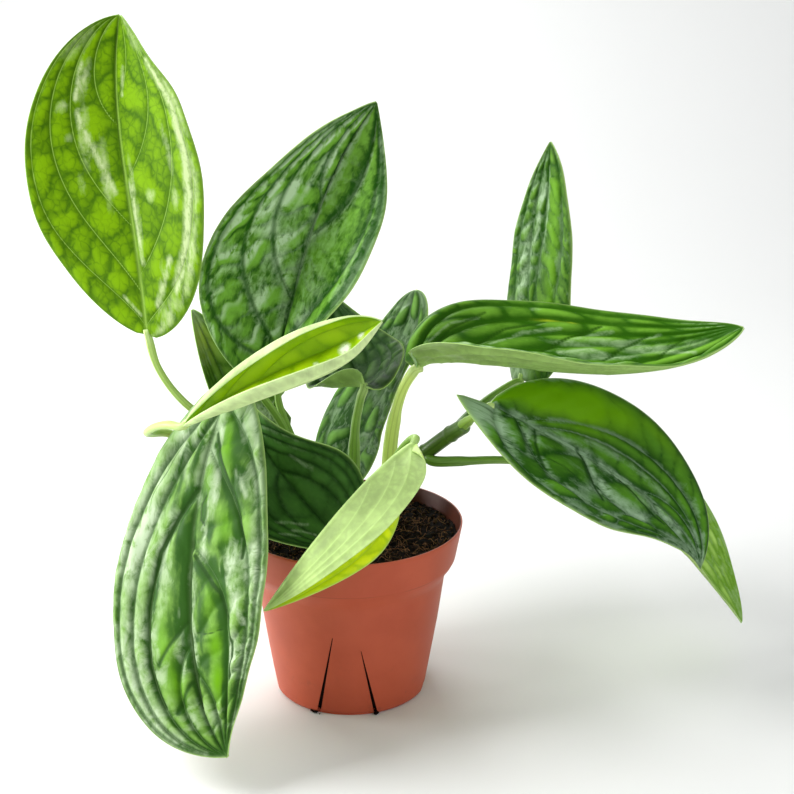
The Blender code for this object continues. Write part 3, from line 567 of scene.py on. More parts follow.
def strokes(leaf, kind, s, t):
    """Soft strokes over the blade."""
    length = blade_length(leaf)

    def place(a, b):
        return np.stack((b * pick(leaf["halves"], b) * half_width(leaf, a), a * length), -1)

    here = place(s, t)
    total = np.zeros_like(s)
    for wide, amount, *ends in leaf.get("strokes", {}).get(kind, ()):
        line = place(*np.reshape(ends, (-1, 2)).T / HUNDRED)
        for start, end in zip(line, line[1:]):
            step = end - start
            share = np.clip((here - start) @ step / (step @ step), 0, 1)
            away = np.linalg.norm(here - start - share[..., None] * step, axis=-1)
            total = np.maximum(total, amount * np.exp(-(away / wide) ** 2))
    return total


def softened(grid):
    """Grid of heights with each value averaged with its neighbours."""
    for axis in (0, 1):
        edged = np.concatenate((grid.take([0], axis), grid, grid.take([-1], axis)), axis)
        places = np.arange(grid.shape[axis])
        grid = sum(share * edged.take(places + k, axis) for k, share in enumerate((0.25, 0.5, 0.25)))
    return grid


def quilting(leaf, s, t, seed):
    """Height of the quilted face in mm, and masks: panel dome, side veins, cross creases, and the place
    across the panels, which is whole on each vein, with the width of the panel there."""
    length = blade_length(leaf)
    height, dome, vein, crease, panels = (np.zeros_like(s) for _ in range(5))
    spread = np.ones_like(s)
    reach = np.abs(t)
    for side, veins in enumerate(leaf["veins"]):
        bumps = leaf.get("bumps", USUAL_BUMPS)[side]
        here = (t > 0) if side else (t <= 0)
        width = leaf["halves"][side] * half_width(leaf, s)
        outer = np.ones_like(s)
        lines = [extent * (1 - np.exp(-np.maximum(s - start, 0) / swing))
                 for start, extent, swing in np.array(veins) / HUNDRED]
        for order, inner in enumerate(lines + [np.zeros_like(s)]):
            inner = np.minimum(inner, outer)
            panel = np.maximum(outer - inner, LEAST)
            place = np.clip((reach - inner) / panel, 0, 1)
            inside = here & (reach >= inner) & (reach <= outer)
            wide = panel * width
            # The phase keeps leaves, panels and sides from looking alike.
            phase = seed * 1.7 + order * 2.3 + side * 1.1
            cell = leaf["cell"] * (OUTER_CELL + CELL_GROWTH * order)
            x, y = s * length / cell, place * wide / cell
            run = x + leaf.get("slant", USUAL_SLANT) * y + phase
            run = run + CREASE_SWAY * wander(0.9 * x, 1.4 * y + order, seed + 2 * side)
            lump = np.abs(np.sin(math.pi * run)) ** CROWN_POWER
            bump = lump * (EVENNESS + (1 - EVENNESS) * np.sin(2.7 * np.floor(run) + phase))
            arch = np.sin(math.pi * place) ** CROWN_POWER
            full = np.clip((wide - FLAT_PANEL) / PANEL_RISE, 0, 1) ** 0.8
            wrinkle = WRINKLE * wander(2.1 * x, 2.4 * y, 2 * seed + order) * arch
            rise = full * (arch * (1 - bumps + bumps * bump) + wrinkle)
            height = np.where(inside, leaf["relief"] * rise, height)
            crown = 1 - CROWN_SHADE * bumps * (1 - bump)
            dome = np.where(inside, arch * crown * np.minimum(1, full * 1.5), dome)
            panels = np.where(inside, order + 1 - place, panels)
            spread = np.where(inside, wide, spread)
            crease = np.where(inside, (1 - lump) ** 2 * arch * full, crease)
            if order < len(lines):
                near = np.exp(-((reach - inner) * width / VEIN_WIDTH) ** 2) * (inner > 0.01)
                vein = np.maximum(vein, np.where(here, near, 0))
            outer = inner
    return height, dict(dome=dome, vein=vein, crease=crease, panels=panels, spread=spread)


def blade_grid(leaf):
    """Stations from base end to tip end and places from margin to margin, closer together at the ends."""
    widest = max(leaf["halves"])
    first = (BASE_END / widest * fullness(leaf)) ** (1 / leaf["blunt"])
    last = 1 - (TIP_END / widest * fullness(leaf)) ** (1 / leaf["taper"])
    fine = leaf.get("fine", 1.0)
    rows = int(np.clip(blade_length(leaf) / ROW_STEP, *ROW_LIMITS) * fine)
    even = np.linspace(0, 1, rows + 1)
    eased = (1 - ROW_EASE) * even + ROW_EASE * (1 - np.cos(math.pi * even)) / 2
    half = int(np.clip(widest * COLUMNS_PER_MM, *COLUMN_LIMITS) * fine)
    even = np.linspace(0, 1, half + 1)
    columns = (1 - COLUMN_EASE) * even + COLUMN_EASE * np.sin(even * math.pi / 2)
    columns = np.concatenate((-columns[:0:-1], columns))
    return np.meshgrid(first + (last - first) * eased, columns, indexing="ij")


def new_mesh(name, points, quads, materials, indices=None, attributes=None):
    mesh = bpy.data.meshes.new(name)
    mesh.from_pydata([tuple(p) for p in np.asarray(points) * MM], [], [tuple(q) for q in quads])
    for material in materials:
        mesh.materials.append(material)
    if indices is not None:
        mesh.polygons.foreach_set("material_index", np.asarray(indices, dtype=np.int32))
    for label, values in (attributes or {}).items():
        values = np.asarray(values, dtype=np.float32)
        kind = "FLOAT_VECTOR" if values.ndim == 2 else "FLOAT"
        layer = mesh.attributes.new(label, kind, "POINT")
        layer.data.foreach_set("vector" if values.ndim == 2 else "value", values.ravel())
    mesh.shade_smooth()
    mesh.update()
    thing = bpy.data.objects.new(name, mesh)
    bpy.context.scene.collection.objects.link(thing)
    return thing


def declare(thing, slot, *nodes):
    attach(thing, "root")
    if nodes:
        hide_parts(*nodes)


# Materials.


class Value:
    """Output of a node, with the arithmetic that the materials use."""

    def __init__(self, tree, socket):
        self.tree = tree
        self.socket = socket

    def __add__(self, other):
        return self.tree.math("ADD", self, other)

    def __sub__(self, other):
        return self.tree.math("SUBTRACT", self, other)

    def __rsub__(self, other):
        return self.tree.math("SUBTRACT", other, self)

    def __mul__(self, other):
        return self.tree.math("MULTIPLY", self, other)

    def __abs__(self):
        return self.tree.math("ABSOLUTE", self)

    def ramp(self, low, high, kind="SMOOTHSTEP"):
        """None below the low level, rising to one at the high one."""
        inputs = {"Value": self, "From Min": low, "From Max": high}
        return self.tree.add("ShaderNodeMapRange", "Result", inputs, interpolation_type=kind)

    def falling(self, low, high):
        """One below the low level, falling to none at the high one."""
        return 1.0 - self.ramp(low, high)


class Tree:
    """Short way to add nodes to a material."""

    def __init__(self, name):
        self.material = bpy.data.materials.new(name)
        self.material.use_nodes = True
        self.tree = self.material.node_tree

    def add(self, kind, out, inputs, **settings):
        """Add a node and return the Value of one of its outputs, given by name or number."""
        node = self.tree.nodes.new(kind)
        for key, value in settings.items():
            setattr(node, key, value)
        for key, value in inputs.items():
            self.put(node.inputs[key], value)
        return Value(self, node.outputs[out])

    def put(self, socket, value):
        if isinstance(value, Value):
            self.tree.links.new(value.socket, socket)
        elif isinstance(value, tuple) and len(value) == 3 and len(socket.default_value) == 4:
            socket.default_value = (*value, 1.0)
        else:
            socket.default_value = value

    def attribute(self, name, out="Fac"):
        return self.add("ShaderNodeAttribute", out, {}, attribute_name=name)

    def object_place(self):
        return self.add("ShaderNodeTexCoord", "Object", {})

    def math(self, operation, *values, clamp=False):
        return self.add("ShaderNodeMath", 0, dict(enumerate(values)), operation=operation, use_clamp=clamp)

    def vector(self, operation, *values, out="Vector"):
        return self.add("ShaderNodeVectorMath", out, dict(enumerate(values)), operation=operation)

    def mix(self, factor, a, b):
        inputs = {"Factor": factor, "A": a, "B": b}
        return self.add("ShaderNodeMix", MIXED_COLOUR, inputs, data_type="RGBA")

    def noise(self, where, scale, detail=3.0, roughness=0.5, distortion=0.0, out="Fac"):
        inputs = {"Vector": where, "Scale": scale, "Detail": detail, "Roughness": roughness,
                  "Distortion": distortion}
        return self.add("ShaderNodeTexNoise", out, inputs)

    def net(self, where, scale, push):
        """Distance from the lines of a net that looks grown, because a broad noise pushes it about."""
        drift = self.noise(where, 0.22, 2.0, out="Color")
        inputs = {"Vector": self.vector("ADD", where, self.vector("MULTIPLY", drift, (push, push, 0.0))),
                  "Scale": scale}
        return self.add("ShaderNodeTexVoronoi", "Distance", inputs, feature="DISTANCE_TO_EDGE")

    def bump(self, height, strength, distance, under=None):
        inputs = {"Height": height, "Strength": strength, "Distance": distance}
        if under is not None:
            inputs["Normal"] = under
        return self.add("ShaderNodeBump", "Normal", inputs)

    def finish(self, body, rough, normal=None, gloss=None):
        """Give the shader its colour, roughness, bumps and specular level, and return the material."""
        sockets = self.tree.nodes["Principled BSDF"].inputs
        self.put(sockets["Base Color"], body)
        self.put(sockets["Roughness"], rough)
        if normal is not None:
            self.put(sockets["Normal"], normal)
        if gloss is not None:
            sockets["Specular IOR Level"].default_value = gloss
        return self.material


def scaled(colour, factor, more=0.0):
    return tuple(min(1.0, c * factor + more) for c in colour)


def from_vein(tree):
    """Distance in mm from the nearest side vein."""
    panels = tree.attribute("panels")
    return abs(panels - tree.math("ROUND", panels)) * tree.attribute("spread")


def leaf_upper(name, style):
    tree = Tree(name)
    where = tree.attribute("flat", "Vector")
    dome, lean, lime, dark = (tree.attribute(kind) for kind in ("dome", "lean", "lime", "dark"))
    broad = tree.noise(where, 0.045, 3.0, 0.55)
    patch = tree.noise(where, 0.15, 4.0, 0.6, 0.8)
    fine = tree.noise(where, 0.9, 5.0, 0.65)
    streak = tree.noise(tree.vector("MULTIPLY", where, (1.0, 0.45, 1.0)), 0.5, 4.0, 0.55, 0.5)
    cells = tree.net(where, style["mesh"], 3.5)
    net_line = cells.falling(0.0, style["thread"]) + cells.falling(0.0, 3 * style["thread"])
    net_line = net_line * 0.5 * streak.ramp(0.26, 0.60)
    near = from_vein(tree)
    clear = tree.attribute("spread").ramp(0.8, 2.5)
    painted_vein_shade = tree.math("MAXIMUM", near.falling(0.2, 2.2) * clear, tree.attribute("vein") * 0.7)
    thin_vein = near.falling(0.08, 0.40) * clear

    # Green: deep in the low places and creases, as painted shade; fresh on the crowns and on the flanks
    # towards the window, as painted light; lime on new growth, and as painted highlights on crowns.
    lift = dome * 0.70 + patch * style["blotch"] + lean * 0.60 + (streak - 0.5) * style["streak"]
    lift = lift - net_line * style["net"] - tree.attribute("crease") * style["fold"] - dark * 0.8
    body = tree.mix(lift.ramp(style["low"], style["high"]), style["deep"], style["fresh"])
    lime_growth_and_highlight = tree.math("MULTIPLY", lime, lift.ramp(-0.5, 0.45), clamp=True)
    body = tree.mix(lime_growth_and_highlight, body, style["lime"])

    # Silver: painted sheen on the flanks towards the window, valleys beside the veins, haze, and single
    # spots that are partly silver markings and partly painted highlights.
    valley = (dome + fine * 0.2).falling(0.15, 0.65) * (broad + streak).ramp(0.75, 1.15)
    sheen = lean.ramp(0.03, 0.34) * (streak + patch).ramp(0.70, 1.15)
    haze = broad.ramp(0.36, 0.66) * patch.ramp(0.30, 0.66)
    pale = tree.attribute("pale") * (fine * 0.35 + streak + patch).ramp(0.62, 1.55)
    silver = valley * style["valley"] + sheen * style["sheen"] + haze * style["haze"] + pale
    plain = (lime + dark + tree.attribute("bare")).falling(0.2, 1.2)
    silver = tree.math("MULTIPLY", silver, plain, clamp=True).ramp(0.10, 0.95, "LINEAR")
    body = tree.mix(silver, body, style["silver"])

    # Dark cuts along the veins and darker furrows, both painted shade, then the pale lines and the margin.
    cut = tree.math("MULTIPLY", painted_vein_shade, style["cut"] - lime_growth_and_highlight * 0.35, clamp=True)
    body = tree.mix(cut, body, style["deep"])
    furrow = tree.attribute("furrow").ramp(0.12, 0.75)
    body = tree.mix(furrow * 0.92, body, scaled(style["deep"], 0.7))
    line = tree.math("MAXIMUM", thin_vein, tree.attribute("rib"))
    body = tree.mix(tree.math("MULTIPLY", line, style["line"], clamp=True), body, style["vein"])
    body = tree.mix(tree.attribute("rim") * 0.7, body, style["under"])
    grain = tree.bump(fine, 0.20, 0.0002)
    carved = tree.bump(net_line * 0.3 + thin_vein, 0.35, -0.0003, grain)
    return tree.finish(body, fine * 0.20 + (style["rough"] - 0.10), carved, style["gloss"])


def leaf_under(name, style):
    tree = Tree(name)
    where = tree.attribute("flat", "Vector")
    fine = tree.noise(where, 0.7, 5.0, 0.6)
    broad = tree.noise(where, 0.08, 3.0, 0.5)
    patch = tree.noise(where, 0.22, 3.0, 0.6, 0.8)
    net_line = tree.net(where, 0.17, 3.0).falling(0.0, 0.22)
    pale = style["under"]
    shade = scaled(pale, 0.62)
    # Tone from broad clouds and patches, darker over the domes as painted shade in the underside's hollows.
    # Shade is the darker underside colour, also used for the net.
    tone = broad * 0.5 + patch * 0.3 - tree.attribute("dome") * 0.20
    body = tree.mix(tone.ramp(0.08, 0.46), shade, pale)
    body = tree.mix(net_line * 0.30, body, shade)
    veins = from_vein(tree).falling(0.1, 0.6) * 0.5
    line = tree.math("MAXIMUM", veins, tree.attribute("rib"), clamp=True)
    body = tree.mix(line * 0.5, body, scaled(pale, 1.25, 0.06))
    return tree.finish(body, fine * 0.2 + 0.38, tree.bump(fine, 0.25, 0.0002), 0.2)


def rim_material(name, style):
    tree = Tree(name)
    fine = tree.noise(tree.attribute("flat", "Vector"), 0.5, 4.0)
    return tree.finish(tree.mix(fine, scaled(style["under"], 0.85), scaled(style["under"], 1.2)), 0.4)


def closed_sheet(rows, cols):
    """Faces of two like grids of points, one turned over, with a wall around them, and their materials."""
    count = rows * cols
    grid = np.arange(count).reshape(rows, cols)
    corners = (grid[:-1, :-1], grid[:-1, 1:], grid[1:, 1:], grid[1:, :-1])
    top = np.stack([corner.ravel() for corner in corners], -1)
    bottom = top[:, ::-1] + count
    ring = np.concatenate((grid[0, :], grid[1:, -1], grid[-1, -2::-1], grid[-2:0:-1, 0]))
    following = np.roll(ring, -1)
    wall = np.stack((ring, ring + count, following + count, following), -1)
    indices = np.repeat((0, 1, 2), (len(top), len(bottom), len(wall)))
    return np.concatenate((top, bottom, wall)), indices


def build_leaf(name, leaf, seed):
    """Closed thin blade: quilted upper face, ribbed under face and a narrow margin."""
    s, t = blade_grid(leaf)
    length = blade_length(leaf)
    ahead = blade_sheet(leaf, np.minimum(s + SMALL_STEP, s.max()), t)
    behind = blade_sheet(leaf, np.maximum(s - SMALL_STEP, s.min()), t)
    right = blade_sheet(leaf, s, np.clip(t + SMALL_STEP, -1, 1))
    left = blade_sheet(leaf, s, np.clip(t - SMALL_STEP, -1, 1))
    normal = unit(np.cross(right - left, ahead - behind))
    height, masks = quilting(leaf, s, t, seed)
    masks["furrow"] = strokes(leaf, "furrow", s, t)
    height = softened(height - FURROW_DEPTH * masks["furrow"])
    reach = np.abs(t)
    width = pick(leaf["halves"], t) * half_width(leaf, s)
    wave = np.sin(s * length / WAVE_STEP + seed + pick((0.0, 2.0), t)) * np.minimum(1, width / WAVY_WIDTH)
    height += WAVE_HEIGHT * reach ** 4 * wave
    sheet = blade_sheet(leaf, s, t) + normal * height[..., None]
    raised = unit(np.cross(np.gradient(sheet, axis=1), np.gradient(sheet, axis=0)))
    # How far the relief turns each face towards the window, for painted light and painted sheen.
    masks["lean"] = (raised - normal) @ unit(np.array(WINDOW_SIDE))

    from_rib = reach * width
    from_rim = (1 - reach) * width
    rib_size = RIB_WIDTH * (1 - RIB_NARROWING * s) + RIB_LEAST
    ridge = RIB_HEIGHT * (1 - RIB_SINKING * s) * np.sqrt(np.clip(1 - (from_rib / rib_size) ** 2, 0, 1))
    groove = GROOVE * masks["vein"]
    thick = RIM_THICKNESS + MORE_THICKNESS * np.clip(from_rim / THICKENING, 0, 1)
    upper = sheet + normal * (thick - groove / 2)[..., None]
    lower = sheet - normal * (thick + ridge + groove)[..., None]

    masks["rib"] = np.exp(-(from_rib / (RIB_COLOURED * rib_size)) ** 2)
    masks["rim"] = np.exp(-from_rim / RIM_WIDTH)
    for kind in ("pale", "lime", "dark", "bare"):
        masks[kind] = np.maximum(spots(leaf.get(kind, ()), s, t), strokes(leaf, kind, s, t))
    attributes = {key: np.tile(value.ravel(), 2) for key, value in masks.items()}
    flat = np.stack((np.sign(t) * from_rib, s * length, np.full_like(s, seed * 37.0)), -1)
    attributes["flat"] = np.tile(flat.reshape(-1, 3), (2, 1))
    style = {**USUAL_LOOK, **LOOKS[name]}
    materials = (leaf_upper(name + "_upper", style), leaf_under(name + "_under", style),
                 rim_material(name + "_rim", style))
    points = np.concatenate((upper.reshape(-1, 3), lower.reshape(-1, 3)))
    quads, indices = closed_sheet(*s.shape)
    thing = new_mesh("blade_" + name, points, quads, materials, indices, attributes)
    declare(thing, leaf["slot"], "leaf_" + name)


for number, (leaf_name, leaf_data) in enumerate(LEAVES.items()):
    build_leaf(leaf_name, leaf_data, float(number))


# Stalks.


def smooth_path(points, pieces):
    """Evenly stepped points on a smooth curve through the given ones, and its length."""
    p = np.array(points, float)
    p = np.vstack((2 * p[0] - p[1], p, 2 * p[-1] - p[-2]))
    curve = []
    for i in range(1, len(p) - 2):
        for u in np.linspace(0, 1, CURVE_STEPS, endpoint=False):
            a, b, c, d = p[i - 1:i + 3]
            curve.append(0.5 * (2 * b + (c - a) * u + (2 * a - 5 * b + 4 * c - d) * u ** 2
                                + (3 * b - a - 3 * c + d) * u ** 3))
    curve = np.array(curve + [p[-2]])
    run = np.concatenate(([0], np.cumsum(np.linalg.norm(np.diff(curve, axis=0), axis=1))))
    even = np.linspace(0, run[-1], pieces + 1)
    return np.stack([np.interp(even, run, curve[:, k]) for k in range(3)], -1), run[-1]


def stalk_material(name, low, high, pale):
    tree = Tree(name)
    where = tree.attribute("flat", "Vector")
    streak = tree.noise(tree.vector("MULTIPLY", where, (1.0, 0.12, 1.0)), 0.9, 4.0, 0.6)
    fine = tree.noise(where, 1.3, 4.0)
    body = tree.mix((tree.attribute("rise") + streak * 0.5).ramp(0.2, 1.2), low, high)
    body = tree.mix(tree.attribute("joint") * 0.8, body, pale)
    body = tree.mix(fine.ramp(0.55, 0.8) * 0.25, body, low)
    # Painted shade on the walls of the channel along the stalk.
    aside = abs(tree.attribute("turn") - CHANNEL_TURN)
    groove = abs(aside - CHANNEL_EDGE).falling(0.02, 0.20)
    body = tree.mix(groove * 0.40, body, scaled(low, 0.6))
    return tree.finish(body, fine * 0.2 + 0.3, tree.bump(streak, 0.3, 0.0002))


def band(start, sides):
    """Faces between the ring of points that begins at start and the next one."""
    pairs = [(start + j, start + (j + 1) % sides) for j in range(sides)]
    return [(a, b, b + sides, a + sides) for a, b in pairs]


def tube(name, path, radius, material, sides=24, pieces=80):
    """Closed stalk along a smooth path; radius gives the radius at a share of its length and a turn."""
    centre, length = smooth_path(path, pieces)
    along = unit(np.gradient(centre, axis=0))
    side = unit(np.cross(along[0], START_SIDE))
    points, flat, rise, turns, quads = [], [], [], [], [tuple(range(sides))[::-1]]
    for k, (middle, direction) in enumerate(zip(centre, along)):
        side = unit(side - (side @ direction) * direction)
        other = np.cross(direction, side)
        for turn in np.arange(sides) * 2 * math.pi / sides:
            r = radius(k / pieces, turn)
            points.append(middle + r * (math.cos(turn) * side + math.sin(turn) * other))
            flat.append((r * turn, k / pieces * length, length))
            rise.append(k / pieces)
            turns.append(turn)
    for start in range(0, pieces * sides, sides):
        quads += band(start, sides)
    quads.append(tuple(range(pieces * sides, (pieces + 1) * sides)))
    joint = np.clip((np.array(rise) * length - (length - JOINT_LENGTH)) / JOINT_BLEND, 0, 1)
    attributes = dict(flat=flat, rise=rise, joint=joint, turn=turns)
    return new_mesh(name, points, quads, [material], None, attributes)


# Pale stalk: a pale yellow-green brightened further as a painted glow of light through the stalk.
PALE_PAINTED_GLOW_STALK = stalk_material("pale_painted_glow_stalk", (0.56, 0.80, 0.11), (0.78, 0.98, 0.24), (0.66, 0.85, 0.30))
STALK = stalk_material("stalk", (0.24, 0.42, 0.05), (0.46, 0.66, 0.15), (0.55, 0.72, 0.26))
GREEN_STALK = stalk_material("green_stalk", (0.11, 0.25, 0.02), (0.25, 0.44, 0.07), (0.38, 0.56, 0.16))
STALK_LOOKS = {"right_wide": PALE_PAINTED_GLOW_STALK, "upper_left": STALK, "lime_young": STALK, "right_lower": STALK}
VINE = stalk_material("vine", (0.035, 0.09, 0.008), (0.075, 0.16, 0.012), (0.10, 0.20, 0.03))


def petiole_radius(sizes, sheath_end):
    """Petiole with a winged sheath around its lower part, a channel along it and a swollen joint."""
    def radius(u, turn):
        r = sizes[0] + (sizes[1] - sizes[0]) * u
        winged = 1 / (1 + math.exp((u - sheath_end) / SHEATH_FADE))
        sheath = winged * (SHEATH + WINGS * sizes[0] * math.cos(2 * turn))
        swell = JOINT_SWELL * math.exp(-((u - JOINT_PLACE) / JOINT_SPREAD) ** 2)
        depth = CHANNEL_DEPTH + SHEATH_CHANNEL * winged
        return r + sheath + swell - depth * math.exp(-((turn - CHANNEL_TURN) / CHANNEL_WIDTH) ** 2)
    return radius


def stand(name):
    return tuple((*FEET[name], z) for z in FOOT_HEIGHTS) if name in FEET else ()


for name, path in PETIOLES.items():
    blade_start, blade_next = np.array(LEAVES[name]["midrib"][:2], float)
    inside_blade = tuple(blade_start + unit(blade_next - blade_start) * INTO_BLADE)
    path = stand(name) + INTO_STEM.get(name, ()) + path + (inside_blade,)
    radius = petiole_radius(PETIOLE_SIZES.get(name, USUAL_SIZE), SHEATH_ENDS.get(name, USUAL_SHEATH_END))
    stalk = tube("stalk_" + name, path, radius, STALK_LOOKS.get(name, GREEN_STALK))
    declare(stalk, "stalk", "petiole_" + name)


def vine_radius(u, turn):
    nodes = sum(NODE_HEIGHT * math.exp(-((u - at) / NODE_WIDTH) ** 2) for at in VINE_NODES)
    end = max(0.0, (u - VINE_END) / (1 - VINE_END))
    return VINE_RADIUS - VINE_NARROWING * u + nodes - VINE_ROUNDING * end ** 2


vine = tube("vine", stand("vine_stem") + STEM_PATH, vine_radius, VINE, 28, 90)
declare(vine, "vine", "vine_stem")


# Pot.


def slit_line(slit, z):
    return slit["foot"] + (slit["top"] - slit["foot"]) * z / slit["height"]


def pot_points(r, z, turn):
    """Place a point of the wall, with the tongue between each pair of slits set back a little."""
    quarter = 2 * math.pi / SLIT_PAIRS
    sideways = r * math.sin((turn + quarter / 2) % quarter - quarter / 2)
    left, right = (slit_line(slit, z) for slit in SLITS)
    inward = min(sideways - left, right - sideways)
    tall = min(slit["height"] for slit in SLITS)
    if TONGUE_FOOT < z < tall and r > TONGUE_INNER_RADIUS:
        r -= TONGUE_RECESS * (1 - z / tall) * np.clip(inward / TONGUE_SLOPE, 0, 1)
    return (r * math.sin(turn), -r * math.cos(turn), z)


def lathe(name, profile, sides, material, shape):
    """Surface of revolution whose profile starts and ends on the axis."""
    first, *middle, last = profile
    points = [(0.0, 0.0, first[1])]
    points += [shape(r, z, k * 2 * math.pi / sides) for r, z in middle for k in range(sides)]
    points.append((0.0, 0.0, last[1]))
    faces = [(0, 1 + j, 1 + (j + 1) % sides) for j in range(sides)]
    for start in range(1, len(points) - 1 - sides, sides):
        faces += [(a, d, c, b) for a, b, c, d in band(start, sides)]
    start = len(points) - 1 - sides
    faces += [(start + j, len(points) - 1, start + (j + 1) % sides) for j in range(sides)]
    return new_mesh(name, points, faces, [material])


def refine(line, step):
    """Add points on the straight stretches of a profile, at most a step apart."""
    out = [line[0]]
    for a, b in zip(line, line[1:]):
        pieces = max(1, math.ceil(math.dist(a, b) / step))
        out += [(a[0] + (b[0] - a[0]) * k / pieces, a[1] + (b[1] - a[1]) * k / pieces)
                for k in range(1, pieces + 1)]
    return out


def pot_material():
    tree = Tree("terracotta_plastic")
    place = tree.object_place()
    fine = tree.noise(place, 900.0, 4.0, 0.6)
    cloud = tree.noise(place, 28.0, 4.0, 0.6)
    blots = tree.noise(place, 140.0, 6.0, 0.7)
    height = tree.add("ShaderNodeSeparateXYZ", "Z", {0: place})
    body = tree.mix(cloud.ramp(0.3, 0.7), (0.43, 0.072, 0.029), (0.49, 0.090, 0.039))

    # Darker inside above the soil, where the wall leans out by the flare: painted shade, with some soil
    # stain.
    flare = (RIM_RADIUS - COLLAR_RADIUS) / (POT_HEIGHT - COLLAR_Z)
    out = tree.vector("LENGTH", tree.vector("MULTIPLY", place, (1.0, 1.0, 0.0)), out="Value")
    wall = height * flare + (COLLAR_RADIUS - COLLAR_Z * flare) * MM
    inside = (wall - out).ramp(0.5 * MM, 0.9 * MM) * height.ramp(COLLAR_Z * MM, (COLLAR_Z + 2) * MM)
    body = tree.mix(inside * 0.85, body, (0.05, 0.016, 0.010))

    # Painted shadow line under the collar, and darker blots towards the foot.
    painted_collar_shadow = abs(height - (COLLAR_Z - 0.3) * MM).falling(0.10 * MM, 0.45 * MM) * cloud.ramp(0.36, 0.60)
    body = tree.mix(painted_collar_shadow * 0.55, body, (0.20, 0.040, 0.020))
    low_blots = blots.ramp(0.58, 0.74) * height.ramp(0.05, 0.0)
    body = tree.mix(low_blots * 0.35, body, (0.16, 0.06, 0.035))
    return tree.finish(body, cloud * 0.12 + 0.40, tree.bump(fine, 0.12, 0.0001), 0.3)


def pot_profile():
    """Section of the pot, from the middle of its floor up the inner wall and down the outer one."""
    flat = BASE_RADIUS - BASE_ROUNDING
    outside = [(RIM_RADIUS - LIP * 0.3, POT_HEIGHT), (RIM_RADIUS, POT_HEIGHT - LIP * 0.5),
               (RIM_RADIUS - 0.15, POT_HEIGHT - 1.6), (COLLAR_RADIUS, COLLAR_Z + 0.9),
               (COLLAR_RADIUS - 0.25, COLLAR_Z), (COLLAR_RADIUS - 0.9, COLLAR_Z - 1.1), COVE_TOP,
               COVE_MIDDLE, COVE_FOOT, COVE_END, (SHOULDER_RADIUS, SHOULDER_Z - 0.2),
               (BASE_RADIUS, BASE_ROUNDING),
               (BASE_RADIUS - 0.35, 1.7), (BASE_RADIUS - 1.1, 0.7), (BASE_RADIUS - 2.0, 0.15), (flat, 0.0)]
    inside = [(r - POT_WALL, z) for r, z in outside[3:-4]] + [(flat, POT_FLOOR)]
    lip = [(RIM_RADIUS - POT_WALL, POT_HEIGHT - 0.8), (RIM_RADIUS - POT_WALL + 0.25, POT_HEIGHT - 0.1)]
    inner, outer = refine(inside[::-1], PROFILE_STEP), refine(outside, PROFILE_STEP)
    return [(0.0, POT_FLOOR)] + inner + lip + outer + [(0.0, 0.0)]


def around(turn, x, depth, z):
    """Point at depth in front of the axis and x to the right, turned about the axis."""
    return (x * math.cos(turn) + depth * math.sin(turn), x * math.sin(turn) - depth * math.cos(turn), z)


def slit_cutter(slit, turn, material):
    """Thin wedge that cuts one slit into the wall."""
    low = slit_line(slit, -SLIT_OVERRUN)
    outline = ((low - SLIT_FOOT_WIDTH / 2, -SLIT_OVERRUN), (low + SLIT_FOOT_WIDTH / 2, -SLIT_OVERRUN),
               (slit["top"] + SLIT_TOP_WIDTH / 2, slit["height"]),
               (slit["top"] - SLIT_TOP_WIDTH / 2, slit["height"]))
    points = [around(turn, x, depth, z) for depth in (SLIT_INNER_RADIUS, RIM_RADIUS) for x, z in outline]
    faces = [(3, 2, 1, 0), (4, 5, 6, 7), (1, 5, 4, 0), (2, 6, 5, 1), (3, 7, 6, 2), (0, 4, 7, 3)]
    return new_mesh("cutter", points, faces, [material])


def build_pot():
    material = pot_material()
    pot = lathe("nursery_pot", pot_profile(), POT_SIDES, material, pot_points)
    cutters = [slit_cutter(slit, k * 2 * math.pi / SLIT_PAIRS, material)
               for k in range(SLIT_PAIRS) for slit in SLITS]
    for cutter in cutters:
        modifier = pot.modifiers.new("slit", "BOOLEAN")
        modifier.operation = "DIFFERENCE"
        modifier.solver = "EXACT"
        modifier.object = cutter
    graph = bpy.context.evaluated_depsgraph_get()
    mesh = bpy.data.meshes.new_from_object(pot.evaluated_get(graph))
    pot.modifiers.clear()
    pot.data = mesh
    for cutter in cutters:
        bpy.data.objects.remove(cutter, do_unlink=True)
    mesh.set_sharp_from_angle(angle=math.radians(SHARP_ANGLE))
    declare(pot, "pot", "pot")


build_pot()


# Soil.


def soil_material():
    tree = Tree("peat")
    place = tree.object_place()
    grain = tree.noise(place, 420.0, 6.0, 0.7)
    clump = tree.noise(place, 110.0, 5.0, 0.6)
    mixed = (grain * 0.6 + clump * 0.5).ramp(0.46, 0.84)
    body = tree.mix(mixed, (0.002, 0.0014, 0.001), (0.034, 0.018, 0.010))
    body = tree.mix(tree.attribute("tone"), body, (0.30, 0.150, 0.070))
    return tree.finish(body, 0.9, tree.bump(grain, 0.8, 0.0008, tree.bump(clump, 0.7, 0.002)), 0.12)


